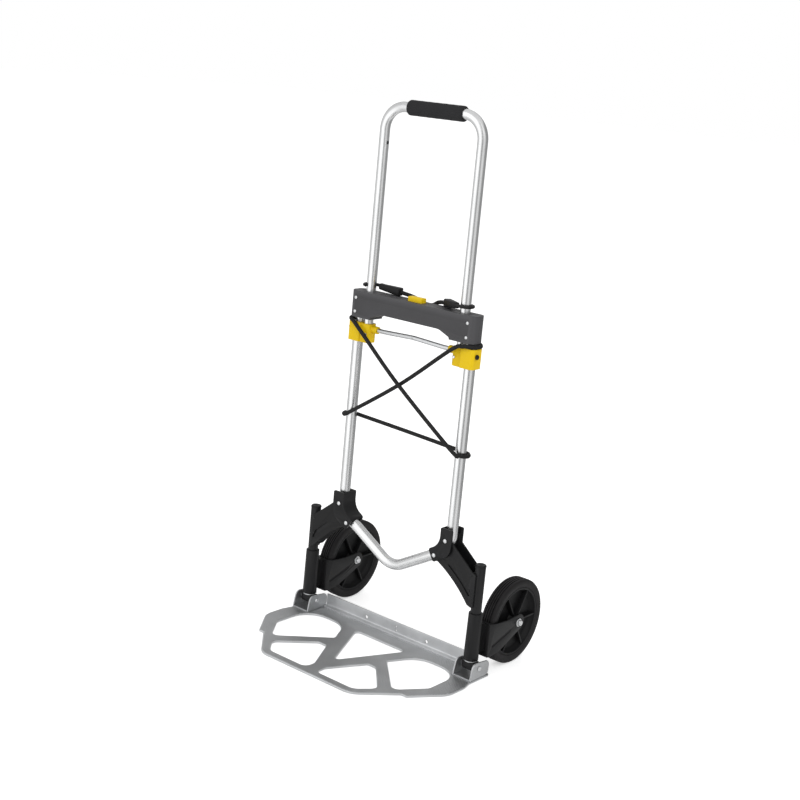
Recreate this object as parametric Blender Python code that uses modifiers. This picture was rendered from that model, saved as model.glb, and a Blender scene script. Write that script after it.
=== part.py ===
"""Folding hand truck: telescopic aluminium frame, folding toe plate and folding wheels.

Axes: -Y is the front, where the toe plate reaches out, +Y the back, where the wheels stand, and
+Z is up.  "left" is -X and "right" is +X, as seen from the front.  The origin is on the floor,
midway between the two upright posts.  Every length is in metres.  The toe plate and the wheels
are folded out and the handle is pulled out.
"""
import math

import bmesh
import bpy
from mathutils import Matrix, Vector

# ---------------------------------------------------------------- driving dimensions
POST_X = 0.2155            # upright posts, each side of the centre
POST_RADIUS = 0.0105
POST_TOP = 0.2290
FRAME_X = 0.1405           # legs of the fixed U frame
FRAME_RADIUS = 0.0110
TUBE_WALL = 0.0013
HANDLE_X = 0.1170          # legs of the sliding handle
HANDLE_RADIUS = 0.0100
HANDLE_TOP = 1.0660        # centre line of the handle's top run, pulled out
HANDLE_BEND = 0.0455       # bend radius of the handle's corners
V_APEX_Z = 0.1605          # where the two slanted runs of the frame would meet
V_SLOPE = math.radians(30)
V_BEND = 0.0500
KNEE_BEND = 0.0450         # bend radius where a leg turns into the V

CROSSBAR_TOP = 0.7040
CROSSBAR_BOTTOM = 0.6510
CROSSBAR_WAIST = 0.6660    # underside between the two ends
CROSSBAR_HALF_DEPTH = 0.0190
CROSSBAR_END_MARGIN = 0.0130   # material outside the frame tube's centre line
CROSSBAR_CORNER = 0.0130
LOCK_Z = 0.6855            # height of the lock pins
HANDLE_TRAVEL = 0.3100
BUTTON_TRAVEL = 0.0060

SLIDER_TOP = 0.6410
SLIDER_HEIGHT = 0.0385
SLIDER_WALL = 0.0042
BRACE_Z = 0.6300
BRACE_RADIUS = 0.0045
BRACE_ARCH = 0.0030

HINGE_Z = 0.0250           # toe plate hinge pins
PIN_RADIUS = 0.0030
RIVET_RADIUS = 0.0018
EAR_HALF = 0.0220          # post centre to the outer face of a hinge ear
EAR_THICKNESS = 0.0030
KNUCKLE_HALF = 0.0140
KNUCKLE_RADIUS = 0.0095

PLATE_THICKNESS = 0.0040
PLATE_SIDE = 0.2440
PLATE_FRONT = 0.2400       # hinge line to the front edge
PLATE_REAR = 0.0360
FLANGE_HEIGHT = 0.0330
FLANGE_THICKNESS = 0.0030

SLEEVE_BOTTOM = HINGE_Z + 0.0130
SLEEVE_TOP = 0.1340
SLEEVE_RADIUS = 0.0142
WHEEL_RADIUS = 0.0875
WHEEL_Y = 0.1244           # post centre to axle
TYRE_HALF_WIDTH = 0.0150
RIM_RADIUS = WHEEL_RADIUS - 0.0170   # where the tyre seats
RIM_HALF_WIDTH = 0.0125
HUB_RADIUS = 0.0140
HUB_HALF_WIDTH = 0.0160
AXLE_RADIUS = 0.0041
FORK_INNER = 0.0165        # wheel plane to a fork plate's inner face
FORK_OUTER = 0.0200

BRACKET_HALF_DEPTH = 0.0190
BRACKET_WALL = 0.0035
CHEEK_OUTER = 0.0150       # arm cheeks, each side of the frame's mid plane
CHEEK_THICKNESS = 0.0025

GRIP_LENGTH = 2 * (HANDLE_X - HANDLE_BEND) - 0.0130
GRIP_RADIUS = 0.0146
GRIP_OFFSET = 0.0060
CORD_RADIUS = 0.0040
CORD_LEG_X = 0.1405        # leg spacing for which the cord's route is written

GAP = 0.0003               # between pieces that touch
RUN = 0.0004               # running clearance around a sliding or turning piece

# ---------------------------------------------------------------- derived places
CROSSBAR_END = FRAME_X + CROSSBAR_END_MARGIN
SLIDER_BOTTOM = SLIDER_TOP - SLIDER_HEIGHT
AXLE_Z = WHEEL_RADIUS
FLOOR = 0.0
KNEE_Z = V_APEX_Z + FRAME_X * math.tan(V_SLOPE)   # where a leg's line meets a slanted run's
KNUCKLE_TOP = HINGE_Z + KNUCKLE_RADIUS
COLLAR_LOW = SLEEVE_TOP + 0.0130
COLLAR_HIGH = POST_TOP - 0.0150

SILVER = (0.62, 0.63, 0.65)
SATIN = (0.55, 0.56, 0.57)
BLACK = (0.018, 0.018, 0.019)
DARK_GREY = (0.055, 0.055, 0.060)
YELLOW = (0.86, 0.72, 0.02)


# ---------------------------------------------------------------- scene and materials
def clear_scene():
    for item in list(bpy.data.objects):
        bpy.data.objects.remove(item, do_unlink=True)


def new_collection(name):
    collection = bpy.data.collections.new(name)
    bpy.context.scene.collection.children.link(collection)
    return collection


clear_scene()
PARTS = new_collection("folding_hand_truck")
CUTTERS = new_collection("cutters")


def material(name, colour, roughness, metallic):
    """One Principled BSDF with a plain colour."""
    made = bpy.data.materials.new(name)
    made.use_nodes = True
    shader = made.node_tree.nodes["Principled BSDF"]
    shader.inputs["Base Color"].default_value = (*colour, 1.0)
    shader.inputs["Roughness"].default_value = roughness
    shader.inputs["Metallic"].default_value = metallic
    return made


# ---------------------------------------------------------------- outlines
def arc(centre, radius, start, end, steps):
    """Points on a circle from one angle to another, both in degrees."""
    points = []
    for step in range(steps + 1):
        angle = math.radians(start + (end - start) * step / steps)
        points.append((centre[0] + radius * math.cos(angle), centre[1] + radius * math.sin(angle)))
    return points


def rounded(corners, steps=5):
    """A closed outline: each corner is (u, v, radius), and a radius of 0 stays sharp."""
    points = []
    count = len(corners)
    for index in range(count):
        here = Vector(corners[index][:2])
        radius = corners[index][2]
        to_last = (Vector(corners[index - 1][:2]) - here).normalized()
        to_next = (Vector(corners[(index + 1) % count][:2]) - here).normalized()
        if radius == 0:
            points.append(tuple(here))
            continue
        points.extend(fillet(here, to_last, to_next, radius, steps))
    return points


def fillet(corner, to_last, to_next, radius, steps):
    """Points of an arc that rounds one corner of a path, in two or three dimensions."""
    half = to_last.angle(to_next) / 2
    centre = corner + (to_last + to_next).normalized() * radius / math.sin(half)
    first = corner + to_last * radius / math.tan(half)
    last = corner + to_next * radius / math.tan(half)
    points = []
    for step in range(steps + 1):
        blend = step / steps
        sweep = math.pi - 2 * half
        weight_first = math.sin((1 - blend) * sweep) / math.sin(sweep)
        weight_last = math.sin(blend * sweep) / math.sin(sweep)
        points.append(tuple(centre + (first - centre) * weight_first + (last - centre) * weight_last))
    return points


def bent_path(corners, steps=5):
    """An open path in space with rounded corners: each corner is (point, radius)."""
    points = [tuple(corners[0][0])]
    for index in range(1, len(corners) - 1):
        here = Vector(corners[index][0])
        to_last = (Vector(corners[index - 1][0]) - here).normalized()
        to_next = (Vector(corners[index + 1][0]) - here).normalized()
        points.extend(fillet(here, to_last, to_next, corners[index][1], steps))
    points.append(tuple(corners[-1][0]))
    return points


def mirrored(points):
    """The same outline on the other side of the first axis."""
    return [(-point[0], *point[1:]) for point in reversed(points)]


def smooth_path(knots, steps):
    """Catmull-Rom points through a cord's own route; steps holds the count for each span."""
    padded = [2 * Vector(knots[0]) - Vector(knots[1])]
    padded += [Vector(knot) for knot in knots]
    padded.append(2 * Vector(knots[-1]) - Vector(knots[-2]))
    points = []
    for span in range(len(knots) - 1):
        a, b, c, d = padded[span:span + 4]
        for step in range(steps[span]):
            t = step / steps[span]
            points.append(tuple(0.5 * (2 * b + (c - a) * t + (2 * a - 5 * b + 4 * c - d) * t ** 2
                                       + (3 * b - a - 3 * c + d) * t ** 3)))
    points.append(tuple(padded[-2]))
    return points


# ---------------------------------------------------------------- building blocks
def place(mesh, name, skin, collection):
    item = bpy.data.objects.new(name, mesh)
    collection.objects.link(item)
    if skin:
        mesh.materials.clear()
        mesh.materials.append(skin)
    return item


def finish_mesh(work, name):
    """Weld, face outwards and shade a bmesh, and return it as mesh data."""
    bmesh.ops.remove_doubles(work, verts=work.verts, dist=0.000002)
    bmesh.ops.recalc_face_normals(work, faces=work.faces)
    mesh = bpy.data.meshes.new(name)
    work.to_mesh(mesh)
    work.free()
    mesh.shade_smooth()
    mesh.set_sharp_from_angle(angle=math.radians(35))
    return mesh


def from_curve(curve, name):
    """The solid that a curve makes, as clean mesh data."""
    holder = bpy.data.objects.new("curve_holder", curve)
    CUTTERS.objects.link(holder)
    bpy.context.view_layer.update()
    evaluated = holder.evaluated_get(bpy.context.evaluated_depsgraph_get())
    mesh = bpy.data.meshes.new_from_object(evaluated)
    bpy.data.objects.remove(holder)
    work = bmesh.new()
    work.from_mesh(mesh)
    bpy.data.meshes.remove(mesh)
    return finish_mesh(work, name)


def add_spline(curve, points, cyclic):
    spline = curve.splines.new("POLY")
    spline.points.add(len(points) - 1)
    for index, point in enumerate(points):
        spline.points[index].co = (point[0], point[1], point[2] if len(point) > 2 else 0.0, 1.0)
    spline.use_cyclic_u = cyclic


PLANES = {
    "XY": Matrix.Identity(4),
    "XZ": Matrix.Rotation(math.radians(90), 4, "X"),
    "YZ": Matrix(((0, 0, 1, 0), (1, 0, 0, 0), (0, 1, 0, 0), (0, 0, 0, 1))),
}
NORMALS = {"XY": Vector((0, 0, 1)), "XZ": Vector((0, 1, 0)), "YZ": Vector((1, 0, 0))}


def slab(name, outlines, plane, low, high, skin=None, collection=None):
    """A flat outline, with holes after the first, extruded across a plane from low to high."""
    curve = bpy.data.curves.new(name, "CURVE")
    curve.dimensions = "2D"
    curve.fill_mode = "BOTH"
    curve.extrude = (high - low) / 2
    for outline in outlines:
        add_spline(curve, outline, True)
    mesh = from_curve(curve, name)
    mesh.transform(Matrix.Translation(NORMALS[plane] * (low + high) / 2) @ PLANES[plane])
    return place(mesh, name, skin, collection or PARTS)


def rod(name, points, radius, skin=None, collection=None, resolution=5, caps=True):
    """A round bar or wire along a path."""
    curve = bpy.data.curves.new(name, "CURVE")
    curve.dimensions = "3D"
    curve.bevel_depth = radius
    curve.bevel_resolution = resolution
    curve.use_fill_caps = caps
    add_spline(curve, points, False)
    return place(from_curve(curve, name), name, skin, collection or PARTS)


def tube(name, points, radius, wall, skin, resolution=4):
    """A round tube with open ends along a path."""
    item = rod(name, points, radius, skin, PARTS, resolution, caps=False)
    thickness = item.modifiers.new("wall", "SOLIDIFY")
    thickness.thickness = wall
    thickness.offset = -1
    thickness.use_even_offset = True
    return item


AXES = {"X": Matrix.Rotation(math.radians(90), 4, "Y"), "Y": Matrix.Rotation(math.radians(-90), 4, "X"),
        "Z": Matrix.Identity(4)}


def drum(name, centre, axis, radius, length, skin=None, collection=None, segments=24, top=None):
    """A cylinder about an axis, centred on a point; top gives a cone's other radius."""
    work = bmesh.new()
    bmesh.ops.create_cone(work, cap_ends=True, segments=segments, radius1=radius,
                          radius2=radius if top is None else top, depth=length)
    mesh = finish_mesh(work, name)
    mesh.transform(Matrix.Translation(centre) @ AXES[axis])
    return place(mesh, name, skin, collection or PARTS)


def block(name, low, high, skin=None, collection=None):
    """A box between two opposite corners."""
    low, high = Vector(low), Vector(high)
    work = bmesh.new()
    bmesh.ops.create_cube(work, size=1.0)
    mesh = finish_mesh(work, name)
    mesh.transform(Matrix.Translation((low + high) / 2) @ Matrix.Diagonal((*(high - low), 1.0)))
    return place(mesh, name, skin, collection or PARTS)


def turned(name, profile, centre, axis, skin, segments=32, collection=None):
    """A turned ring: a closed profile of (radius, height) run round an axis.

    The profile runs down its outer side, so the faces point out.
    """
    mesh = bpy.data.meshes.new(name)
    points = [(radius, 0.0, height) for radius, height in profile]
    edges = [(index, (index + 1) % len(points)) for index in range(len(points))]
    mesh.from_pydata(points, edges, [])
    item = place(mesh, name, skin, collection or PARTS)
    item.matrix_world = Matrix.Translation(centre) @ AXES[axis]
    screw = item.modifiers.new("turn", "SCREW")
    screw.steps = segments
    screw.render_steps = segments
    screw.use_merge_vertices = True
    screw.merge_threshold = 0.00001
    screw.use_normal_calculate = False
    return item


def boolean(target, other, operation):
    change = target.modifiers.new(operation.lower(), "BOOLEAN")
    change.operation = operation
    change.solver = "EXACT"
    change.object = other
    other.hide_render = True
    other.display_type = "WIRE"
    return target


def cut(target, *cutters):
    for cutter in cutters:
        boolean(target, cutter, "DIFFERENCE")
    return target


def join(target, *others):
    for other in others:
        boolean(target, other, "UNION")
    return target


def soften(item, width, segments=2, angle=40):
    """Round a piece's edges that are sharper than an angle."""
    bevel = item.modifiers.new("edges", "BEVEL")
    bevel.width = width
    bevel.segments = segments
    bevel.limit_method = "ANGLE"
    bevel.angle_limit = math.radians(angle)
    bevel.use_clamp_overlap = True
    return item


def pivot(name, location, parent=None):
    """An empty on a joint's axis that carries the pieces of one moving body."""
    empty = bpy.data.objects.new(name, None)
    empty.empty_display_size = 0.02
    PARTS.objects.link(empty)
    empty.location = Vector(location) - (parent.location if parent else Vector())
    empty.parent = parent
    return empty


def carry(empty, origin, *pieces):
    for piece in pieces:
        piece.parent = empty
        piece.matrix_parent_inverse = Matrix.Translation(origin).inverted()


# ---------------------------------------------------------------- frame and handle
def frame_route():
    """Centre line of the fixed U frame, from one top end to the other."""
    top = CROSSBAR_TOP - 0.0055
    return [((-FRAME_X, 0, top), 0), ((-FRAME_X, 0, KNEE_Z), KNEE_BEND), ((0, 0, V_APEX_Z), V_BEND),
            ((FRAME_X, 0, KNEE_Z), KNEE_BEND), ((FRAME_X, 0, top), 0)]


def make_frame_tube(skin):
    frame = tube("frame_tube", bent_path(frame_route()), FRAME_RADIUS, TUBE_WALL, skin)
    for side in (-1, 1):
        for x, z in (*crossbar_rivet_places(), *bracket_rivet_places()):
            cut(frame, rivet_bore(side * x, z))


def make_handle(alloy, foam):
    bottom = SLIDER_BOTTOM + SLIDER_WALL
    corners = [((-HANDLE_X, 0, bottom), 0), ((-HANDLE_X, 0, HANDLE_TOP), HANDLE_BEND),
               ((HANDLE_X, 0, HANDLE_TOP), HANDLE_BEND), ((HANDLE_X, 0, bottom), 0)]
    handle = tube("handle_tube", bent_path(corners), HANDLE_RADIUS, TUBE_WALL, alloy)
    for side in (-1, 1):
        for height in (LOCK_Z, LOCK_Z + HANDLE_TRAVEL):
            inner_side = (side * (HANDLE_X - HANDLE_RADIUS), 0, height)
            cut(handle, drum("lock_hole_cutter", inner_side, "X", PIN_RADIUS + RUN, 0.008, None, CUTTERS, 16))
    inner = HANDLE_RADIUS + GAP
    half = GRIP_LENGTH / 2
    edge = 0.003
    profile = [(GRIP_RADIUS - edge, half), (GRIP_RADIUS, half - edge), (GRIP_RADIUS, edge - half),
               (GRIP_RADIUS - edge, -half), (inner, -half), (inner, half)]
    grip = turned("handle_grip", profile, (GRIP_OFFSET, 0, HANDLE_TOP), "X", foam, 28)
    return handle, grip


# ---------------------------------------------------------------- crossbar and lock
def crossbar_outline(side):
    """Plan of one half shell: side -1 is the front one."""
    face = side * CROSSBAR_HALF_DEPTH
    seam = side * GAP / 2
    return rounded([(-CROSSBAR_END, seam, 0), (-CROSSBAR_END, face, CROSSBAR_CORNER),
                    (CROSSBAR_END, face, CROSSBAR_CORNER), (CROSSBAR_END, seam, 0)], 6)


def crossbar_waist_cutter():
    """What is taken from under the crossbar between its two deep ends."""
    shoulder = 0.0985
    blend = 0.0260
    lip = CROSSBAR_BOTTOM - 0.02
    outline = rounded([(-shoulder, lip, 0), (-shoulder, CROSSBAR_BOTTOM + 0.004, 0.003),
                       (-shoulder + blend, CROSSBAR_WAIST, blend), (shoulder - blend, CROSSBAR_WAIST, blend),
                       (shoulder, CROSSBAR_BOTTOM + 0.004, 0.003), (shoulder, lip, 0)], 6)
    deep = CROSSBAR_HALF_DEPTH + 0.01
    return slab("waist_cutter", [outline], "XZ", -deep, deep, None, CUTTERS)


def crossbar_rivet_places():
    """Where the rivets of one end pass the frame leg."""
    x = FRAME_X - 0.0020
    return (x, LOCK_Z + 0.0043), (x, CROSSBAR_BOTTOM + 0.0111)


def rivet_bore(x, z):
    return drum("rivet_bore_cutter", (x, 0, z), "Y", RIVET_RADIUS + GAP, 0.08, None, CUTTERS, 8)


def make_crossbar(skin, rivet_skin):
    waist = crossbar_waist_cutter()
    cavity_half = HANDLE_X - HANDLE_RADIUS - RUN - 0.006
    cavity = block("lock_cavity_cutter", (-cavity_half, -0.0125, CROSSBAR_WAIST + 0.0055),
                   (cavity_half, 0.0125, CROSSBAR_TOP - 0.005), None, CUTTERS)
    mouth = block("button_mouth_cutter", (-0.0175, -0.0085, CROSSBAR_TOP - 0.01),
                  (0.0175, 0.0085, CROSSBAR_TOP + 0.01), None, CUTTERS)
    channel = drum("pin_channel_cutter", (0, 0, LOCK_Z), "X", PIN_RADIUS + RUN, 2 * HANDLE_X, None,
                   CUTTERS, 16)
    bores = [waist, cavity, mouth, channel]
    for side in (-1, 1):
        frame_bore_top = CROSSBAR_TOP - 0.0052
        height = frame_bore_top - CROSSBAR_BOTTOM + 0.02
        bores.append(drum("frame_bore_cutter", (side * FRAME_X, 0, frame_bore_top - height / 2), "Z",
                          FRAME_RADIUS + RUN, height, None, CUTTERS, 20))
        bores.append(drum("handle_bore_cutter", (side * HANDLE_X, 0, LOCK_Z), "Z", HANDLE_RADIUS + RUN, 0.1,
                          None, CUTTERS, 20))
    for side_name, side in (("left", -1), ("right", 1)):
        for level, (x, z) in zip(("upper", "lower"), crossbar_rivet_places()):
            bores.append(rivet_bore(side * x, z))
            through_rivet("crossbar_rivet_" + side_name + "_" + level, side * x, z, CROSSBAR_HALF_DEPTH,
                          rivet_skin)
    for name, side in (("crossbar_front", -1), ("crossbar_rear", 1)):
        shell = slab(name, [crossbar_outline(side)], "XY", CROSSBAR_BOTTOM, CROSSBAR_TOP, skin)
        soften(shell, 0.0012, 1, 60)
        cut(shell, *bores)


def through_rivet(name, x, z, half_depth, skin):
    """A rivet along Y with a domed head on each outer face."""
    head = 0.0034
    dome = 0.0014
    start = half_depth + GAP
    profile = [(0.0, start + dome), (head * 0.6, start + dome * 0.8), (head, start), (RIVET_RADIUS, start),
               (RIVET_RADIUS, -start), (head, -start), (head * 0.6, -start - dome * 0.8),
               (0.0, -start - dome)]
    return lathe(name, profile, (x, 0, z), "Y", skin, 10)


def lathe(name, profile, centre, axis, skin, segments):
    """A turned solid as plain mesh data: an open profile that starts and ends on its axis."""
    work = bmesh.new()
    ring = [work.verts.new((radius, 0, height)) for radius, height in profile]
    edges = [work.edges.new((ring[index], ring[index + 1])) for index in range(len(ring) - 1)]
    bmesh.ops.spin(work, geom=ring + edges, cent=(0, 0, 0), axis=(0, 0, 1), angle=math.tau, steps=segments,
                   use_merge=True)
    mesh = finish_mesh(work, name)
    mesh.transform(Matrix.Translation(centre) @ AXES[axis])
    return place(mesh, name, skin, PARTS)


def make_button(yellow, steel):
    """The release button with its cam plate, the two lock pins and the button's spring."""
    head_top = CROSSBAR_TOP + 0.0090
    head = block("release_button", (-0.0170, -0.0080, LOCK_Z + 0.0080), (0.0170, 0.0080, head_top), yellow)
    soften(head, 0.0015, 2, 60)
    stem = block("button_stem", (-0.0100, -0.0065, LOCK_Z - 0.0015), (0.0100, 0.0065, LOCK_Z + 0.0090),
                 None, CUTTERS)
    plate_low, plate_high = 0.0045, 0.0065
    cam = block("button_cam", (-0.0360, plate_low, LOCK_Z - 0.0060), (0.0360, plate_high, LOCK_Z + 0.0105),
                None, CUTTERS)
    join(head, stem, cam)
    peg_x = 0.0300
    peg_radius = 0.0015
    for side in (-1, 1):
        slot_width = peg_radius + RUN
        centre = Vector((side * (peg_x - BUTTON_TRAVEL / 2), LOCK_Z + BUTTON_TRAVEL / 2))
        half = BUTTON_TRAVEL / 2 * math.sqrt(2)
        slot = []
        for x, z in arc((half, 0), slot_width, -90, 90, 6) + arc((-half, 0), slot_width, 90, 270, 6):
            turn = math.radians(-45 * side)
            slot.append((centre.x + x * math.cos(turn) - z * math.sin(turn),
                         centre.y + x * math.sin(turn) + z * math.cos(turn)))
        cut(head, slab("cam_slot_cutter", [slot], "XZ", 0, 0.01, None, CUTTERS))
    pins = []
    for name, side in (("lock_pin_left", -1), ("lock_pin_right", 1)):
        inner_end = peg_x - 0.0040
        tip = HANDLE_X - HANDLE_RADIUS - RUN
        pin = drum(name, (side * (inner_end + tip) / 2, 0, LOCK_Z), "X", PIN_RADIUS, tip - inner_end, steel,
                   None, 16)
        peg_end = plate_high + 0.0012
        join(pin, drum("pin_peg", (side * peg_x, peg_end / 2, LOCK_Z), "Y", peg_radius, peg_end, None,
                       CUTTERS, 12))
        pins.append(pin)
    floor = CROSSBAR_WAIST + 0.0055 + GAP
    roof = LOCK_Z - 0.0015 - GAP
    spring = coil("button_spring", (0, 0), 0.0036, 0.0005, floor + 0.0005, roof - 0.0005, 3, steel)
    return head, pins, spring


def coil(name, centre, radius, wire, low, high, turns, skin, axis="Z"):
    """A helical spring between two heights on an axis through a point."""
    points = []
    steps = turns * 8
    for step in range(steps + 1):
        angle = math.tau * turns * step / steps
        height = low + (high - low) * step / steps
        points.append((radius * math.cos(angle), radius * math.sin(angle), height))
    spring = rod(name, points, wire, skin, PARTS, 1)
    spring.data.transform(AXES[axis])
    offset = {"Z": (*centre, 0), "X": (0, *centre)}[axis]
    spring.data.transform(Matrix.Translation(offset))
    return spring


# ---------------------------------------------------------------- sliders and brace
def make_slider(name, side, skin):
    """The clamp at the foot of a handle leg, which runs on the frame leg beside it."""
    outer = FRAME_RADIUS + SLIDER_WALL + RUN
    inner = HANDLE_RADIUS + 0.0030
    main = [(FRAME_X + outer, -outer, 0.006), (FRAME_X + outer, outer, 0.006),
            (FRAME_X - outer + 0.001, outer, 0.002), (FRAME_X - outer + 0.001, -outer, 0.002)]
    outline = rounded([(side * x, y, r) for x, y, r in main])
    body = slab(name, [outline], "XY", SLIDER_BOTTOM, SLIDER_TOP, skin)
    leg = slab("slider_leg", [rounded([(side * x, y, r) for x, y, r in (
        (FRAME_X - 0.010, -inner, 0), (HANDLE_X - inner, -inner, 0.007), (HANDLE_X - inner, inner, 0.007),
        (FRAME_X - 0.010, inner, 0))])], "XY", SLIDER_BOTTOM, SLIDER_TOP - 0.0010, None, CUTTERS)
    boss_inner = HANDLE_X - inner - 0.0140
    boss_outer = HANDLE_X - 0.0040
    boss = drum("brace_boss", (side * (boss_inner + boss_outer) / 2, 0, BRACE_Z), "X",
                BRACE_RADIUS + 0.0030, boss_outer - boss_inner, None, CUTTERS, 16)
    join(body, leg, boss)
    frame_bore = drum("slider_bore_cutter", (side * FRAME_X, 0, SLIDER_TOP), "Z", FRAME_RADIUS + RUN, 0.2,
                      None, CUTTERS, 20)
    socket_floor = SLIDER_BOTTOM + SLIDER_WALL - GAP
    socket = drum("handle_socket_cutter", (side * HANDLE_X, 0, socket_floor + 0.05), "Z", HANDLE_RADIUS + RUN,
                  0.1, None, CUTTERS, 20)
    brace_bore = drum("brace_bore_cutter", (side * boss_inner, 0, BRACE_Z), "X", BRACE_RADIUS + GAP, 0.0220,
                      None, CUTTERS, 16)
    screw_hole = drum("screw_hole_cutter", (side * (HANDLE_X - 0.0065), -inner, SLIDER_BOTTOM + 0.0170), "Y",
                      0.0017, 0.0044, None, CUTTERS, 12)
    stop_hole = drum("stop_hole_cutter", (side * (FRAME_X + outer), -0.0040, BRACE_Z - 0.0030), "X", 0.0024,
                     2 * (SLIDER_WALL - GAP), None, CUTTERS, 12)
    cut(body, frame_bore, socket, brace_bore, screw_hole, stop_hole)
    return body


def make_slider_screw(name, side, skin):
    """The screw in the slider's front face that pins the handle's leg."""
    face = -HANDLE_RADIUS - 0.0030 - GAP
    profile = [(0, 0.0019), (0.0014, 0.0019), (0.0014, 0), (0.0030, 0), (0.0030, -0.0010), (0, -0.0014)]
    return lathe(name, profile, (side * (HANDLE_X - 0.0065), face, SLIDER_BOTTOM + 0.0170), "Y", skin, 12)


def make_slider_bolt(name, side, skin):
    """The bolt in the slider's outer side."""
    outer = FRAME_X + FRAME_RADIUS + SLIDER_WALL + RUN + GAP
    profile = [(0, 0.0042), (0.0036, 0.0040), (0.0048, 0.0026), (0.0048, 0), (0.0021, 0), (0.0021, -0.0030),
               (0, -0.0030)]
    profile = [(radius, side * height) for radius, height in profile]
    return lathe(name, profile, (side * outer, -0.0040, BRACE_Z - 0.0030), "X", skin, 16)


def make_brace(skin):
    reach = HANDLE_X - HANDLE_RADIUS - 0.0030 - 0.0140 + 0.0105
    route = [(-reach, 0, BRACE_Z), (-0.075, 0, BRACE_Z), (-0.018, 0, BRACE_Z + BRACE_ARCH * 0.8),
             (0.0, 0, BRACE_Z + BRACE_ARCH), (0.018, 0, BRACE_Z + BRACE_ARCH * 0.8), (0.075, 0, BRACE_Z),
             (reach, 0, BRACE_Z)]
    brace = rod("brace_rod", route, BRACE_RADIUS, skin, PARTS, 4)
    cut(brace, drum("brace_hole_cutter", (0, -BRACE_RADIUS, BRACE_Z + BRACE_ARCH), "Y", 0.0011, 0.007, None,
                    CUTTERS, 12))
    return brace


# ---------------------------------------------------------------- arms, brackets and posts
def bracket_rivet_places():
    """Where the two rivets of a bracket pass the frame tube: on the leg, and on the slanted run."""
    upper = (FRAME_X - 0.0020, KNEE_Z + 0.0195)
    along = 0.0300
    lower = (FRAME_X - along * math.cos(V_SLOPE) + 0.0005, KNEE_Z - along * math.sin(V_SLOPE) - 0.0015)
    return upper, lower


def bracket_outline(inner, outer, top, end):
    """Front view of a band that follows the frame's knee: inner and outer are its offsets."""
    along = Vector((-math.cos(V_SLOPE), -math.sin(V_SLOPE)))
    across = Vector((-math.sin(V_SLOPE), math.cos(V_SLOPE)))
    start = Vector((FRAME_X, KNEE_Z))
    low_inner = start + along * end + across * inner
    low_outer = start + along * end - across * outer
    rise = 1 / math.cos(V_SLOPE) - math.tan(V_SLOPE)
    inner_corner = (FRAME_X - inner, KNEE_Z + inner * rise)
    outer_corner = (FRAME_X + outer, KNEE_Z - outer * rise)
    return [(FRAME_X - inner, top, 0.002), (*inner_corner, KNEE_BEND - inner), (*low_inner, 0.005),
            (*low_outer, 0.005), (*outer_corner, KNEE_BEND * 0.72), (FRAME_X + outer, top, 0.003)]


def sided(side, corners):
    return [(side * corner[0], *corner[1:]) for corner in corners]


def make_bracket(name, side, skin):
    """The moulded cover that wraps the frame's knee and the arm's root."""
    inner = FRAME_RADIUS + BRACKET_WALL
    outer = FRAME_RADIUS + 0.0025
    top = KNEE_Z + 0.0440
    end = 0.0380
    depth = BRACKET_HALF_DEPTH
    outline = rounded(sided(side, bracket_outline(inner, outer, top, end)))
    shell = slab(name, [outline], "XZ", -depth, depth, skin)
    soften(shell, 0.0020, 1, 60)
    hollow_depth = CHEEK_OUTER + GAP
    hollow = bracket_outline(FRAME_RADIUS + GAP * 2, outer + 0.02, top + 0.02, end + 0.02)
    cut(shell, slab("bracket_hollow_cutter", [rounded(sided(side, hollow))], "XZ", -hollow_depth,
                    hollow_depth, None, CUTTERS))
    for x, z in bracket_rivet_places():
        cut(shell, rivet_bore(side * x, z))
    return shell


def arc_through(first, middle, last, steps):
    """Points of the circular arc through three points."""
    a, b, c = Vector(first), Vector(middle), Vector(last)
    d = 2 * (a.x * (b.y - c.y) + b.x * (c.y - a.y) + c.x * (a.y - b.y))
    centre = Vector(((a.length_squared * (b.y - c.y) + b.length_squared * (c.y - a.y)
                      + c.length_squared * (a.y - b.y)) / d,
                     (a.length_squared * (c.x - b.x) + b.length_squared * (a.x - c.x)
                      + c.length_squared * (b.x - a.x)) / d))
    start = math.degrees(math.atan2(a.y - centre.y, a.x - centre.x))
    end = math.degrees(math.atan2(c.y - centre.y, c.x - centre.x))
    return arc(centre, (a - centre).length, start, end, steps)


def arm_lower_edge(shift):
    """The arm's inner edge, which clears the folded wheel, moved towards the outside by shift."""
    first = (FRAME_X - 0.0165 + shift * 0.6, KNEE_Z - 0.0276 + shift * 0.8)
    middle = (POST_X - 0.0470 + shift * 0.64, COLLAR_LOW + 0.0370 + shift * 0.77)
    last = (POST_X - 0.0135 + shift * 0.75, COLLAR_LOW + 0.0030 + shift * 0.66)
    return arc_through(first, middle, last, 8)


def cheek_outline():
    """Front view of one cheek of the right arm."""
    points = arm_lower_edge(0)
    points += [(POST_X - 0.0055, COLLAR_LOW), (POST_X, COLLAR_LOW), (POST_X, COLLAR_HIGH),
               (POST_X - 0.0085, COLLAR_HIGH + 0.0030)]
    points += [(FRAME_X + 0.0115, KNEE_Z + 0.0200), (FRAME_X + 0.0100, KNEE_Z + 0.0300),
               (FRAME_X - 0.0080, KNEE_Z + 0.0300), (FRAME_X - 0.0090, KNEE_Z + 0.0130),
               (FRAME_X - 0.0250, KNEE_Z - 0.0020), (FRAME_X - 0.0340, KNEE_Z - 0.0090),
               (FRAME_X - 0.0290, KNEE_Z - 0.0250)]
    return points


def slot_outline():
    """The crescent opening along the arm's inner edge."""
    low = arm_lower_edge(0.0125)
    high = arm_lower_edge(0.0215)
    low, high = low[2:8], high[2:8]
    tip_low = (low[0][0] - 0.007, low[0][1] + 0.0062)
    tip_high = (low[-1][0] + 0.004, low[-1][1] + 0.0005)
    return [tip_low] + low + [tip_high] + list(reversed(high[1:-1]))


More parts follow.
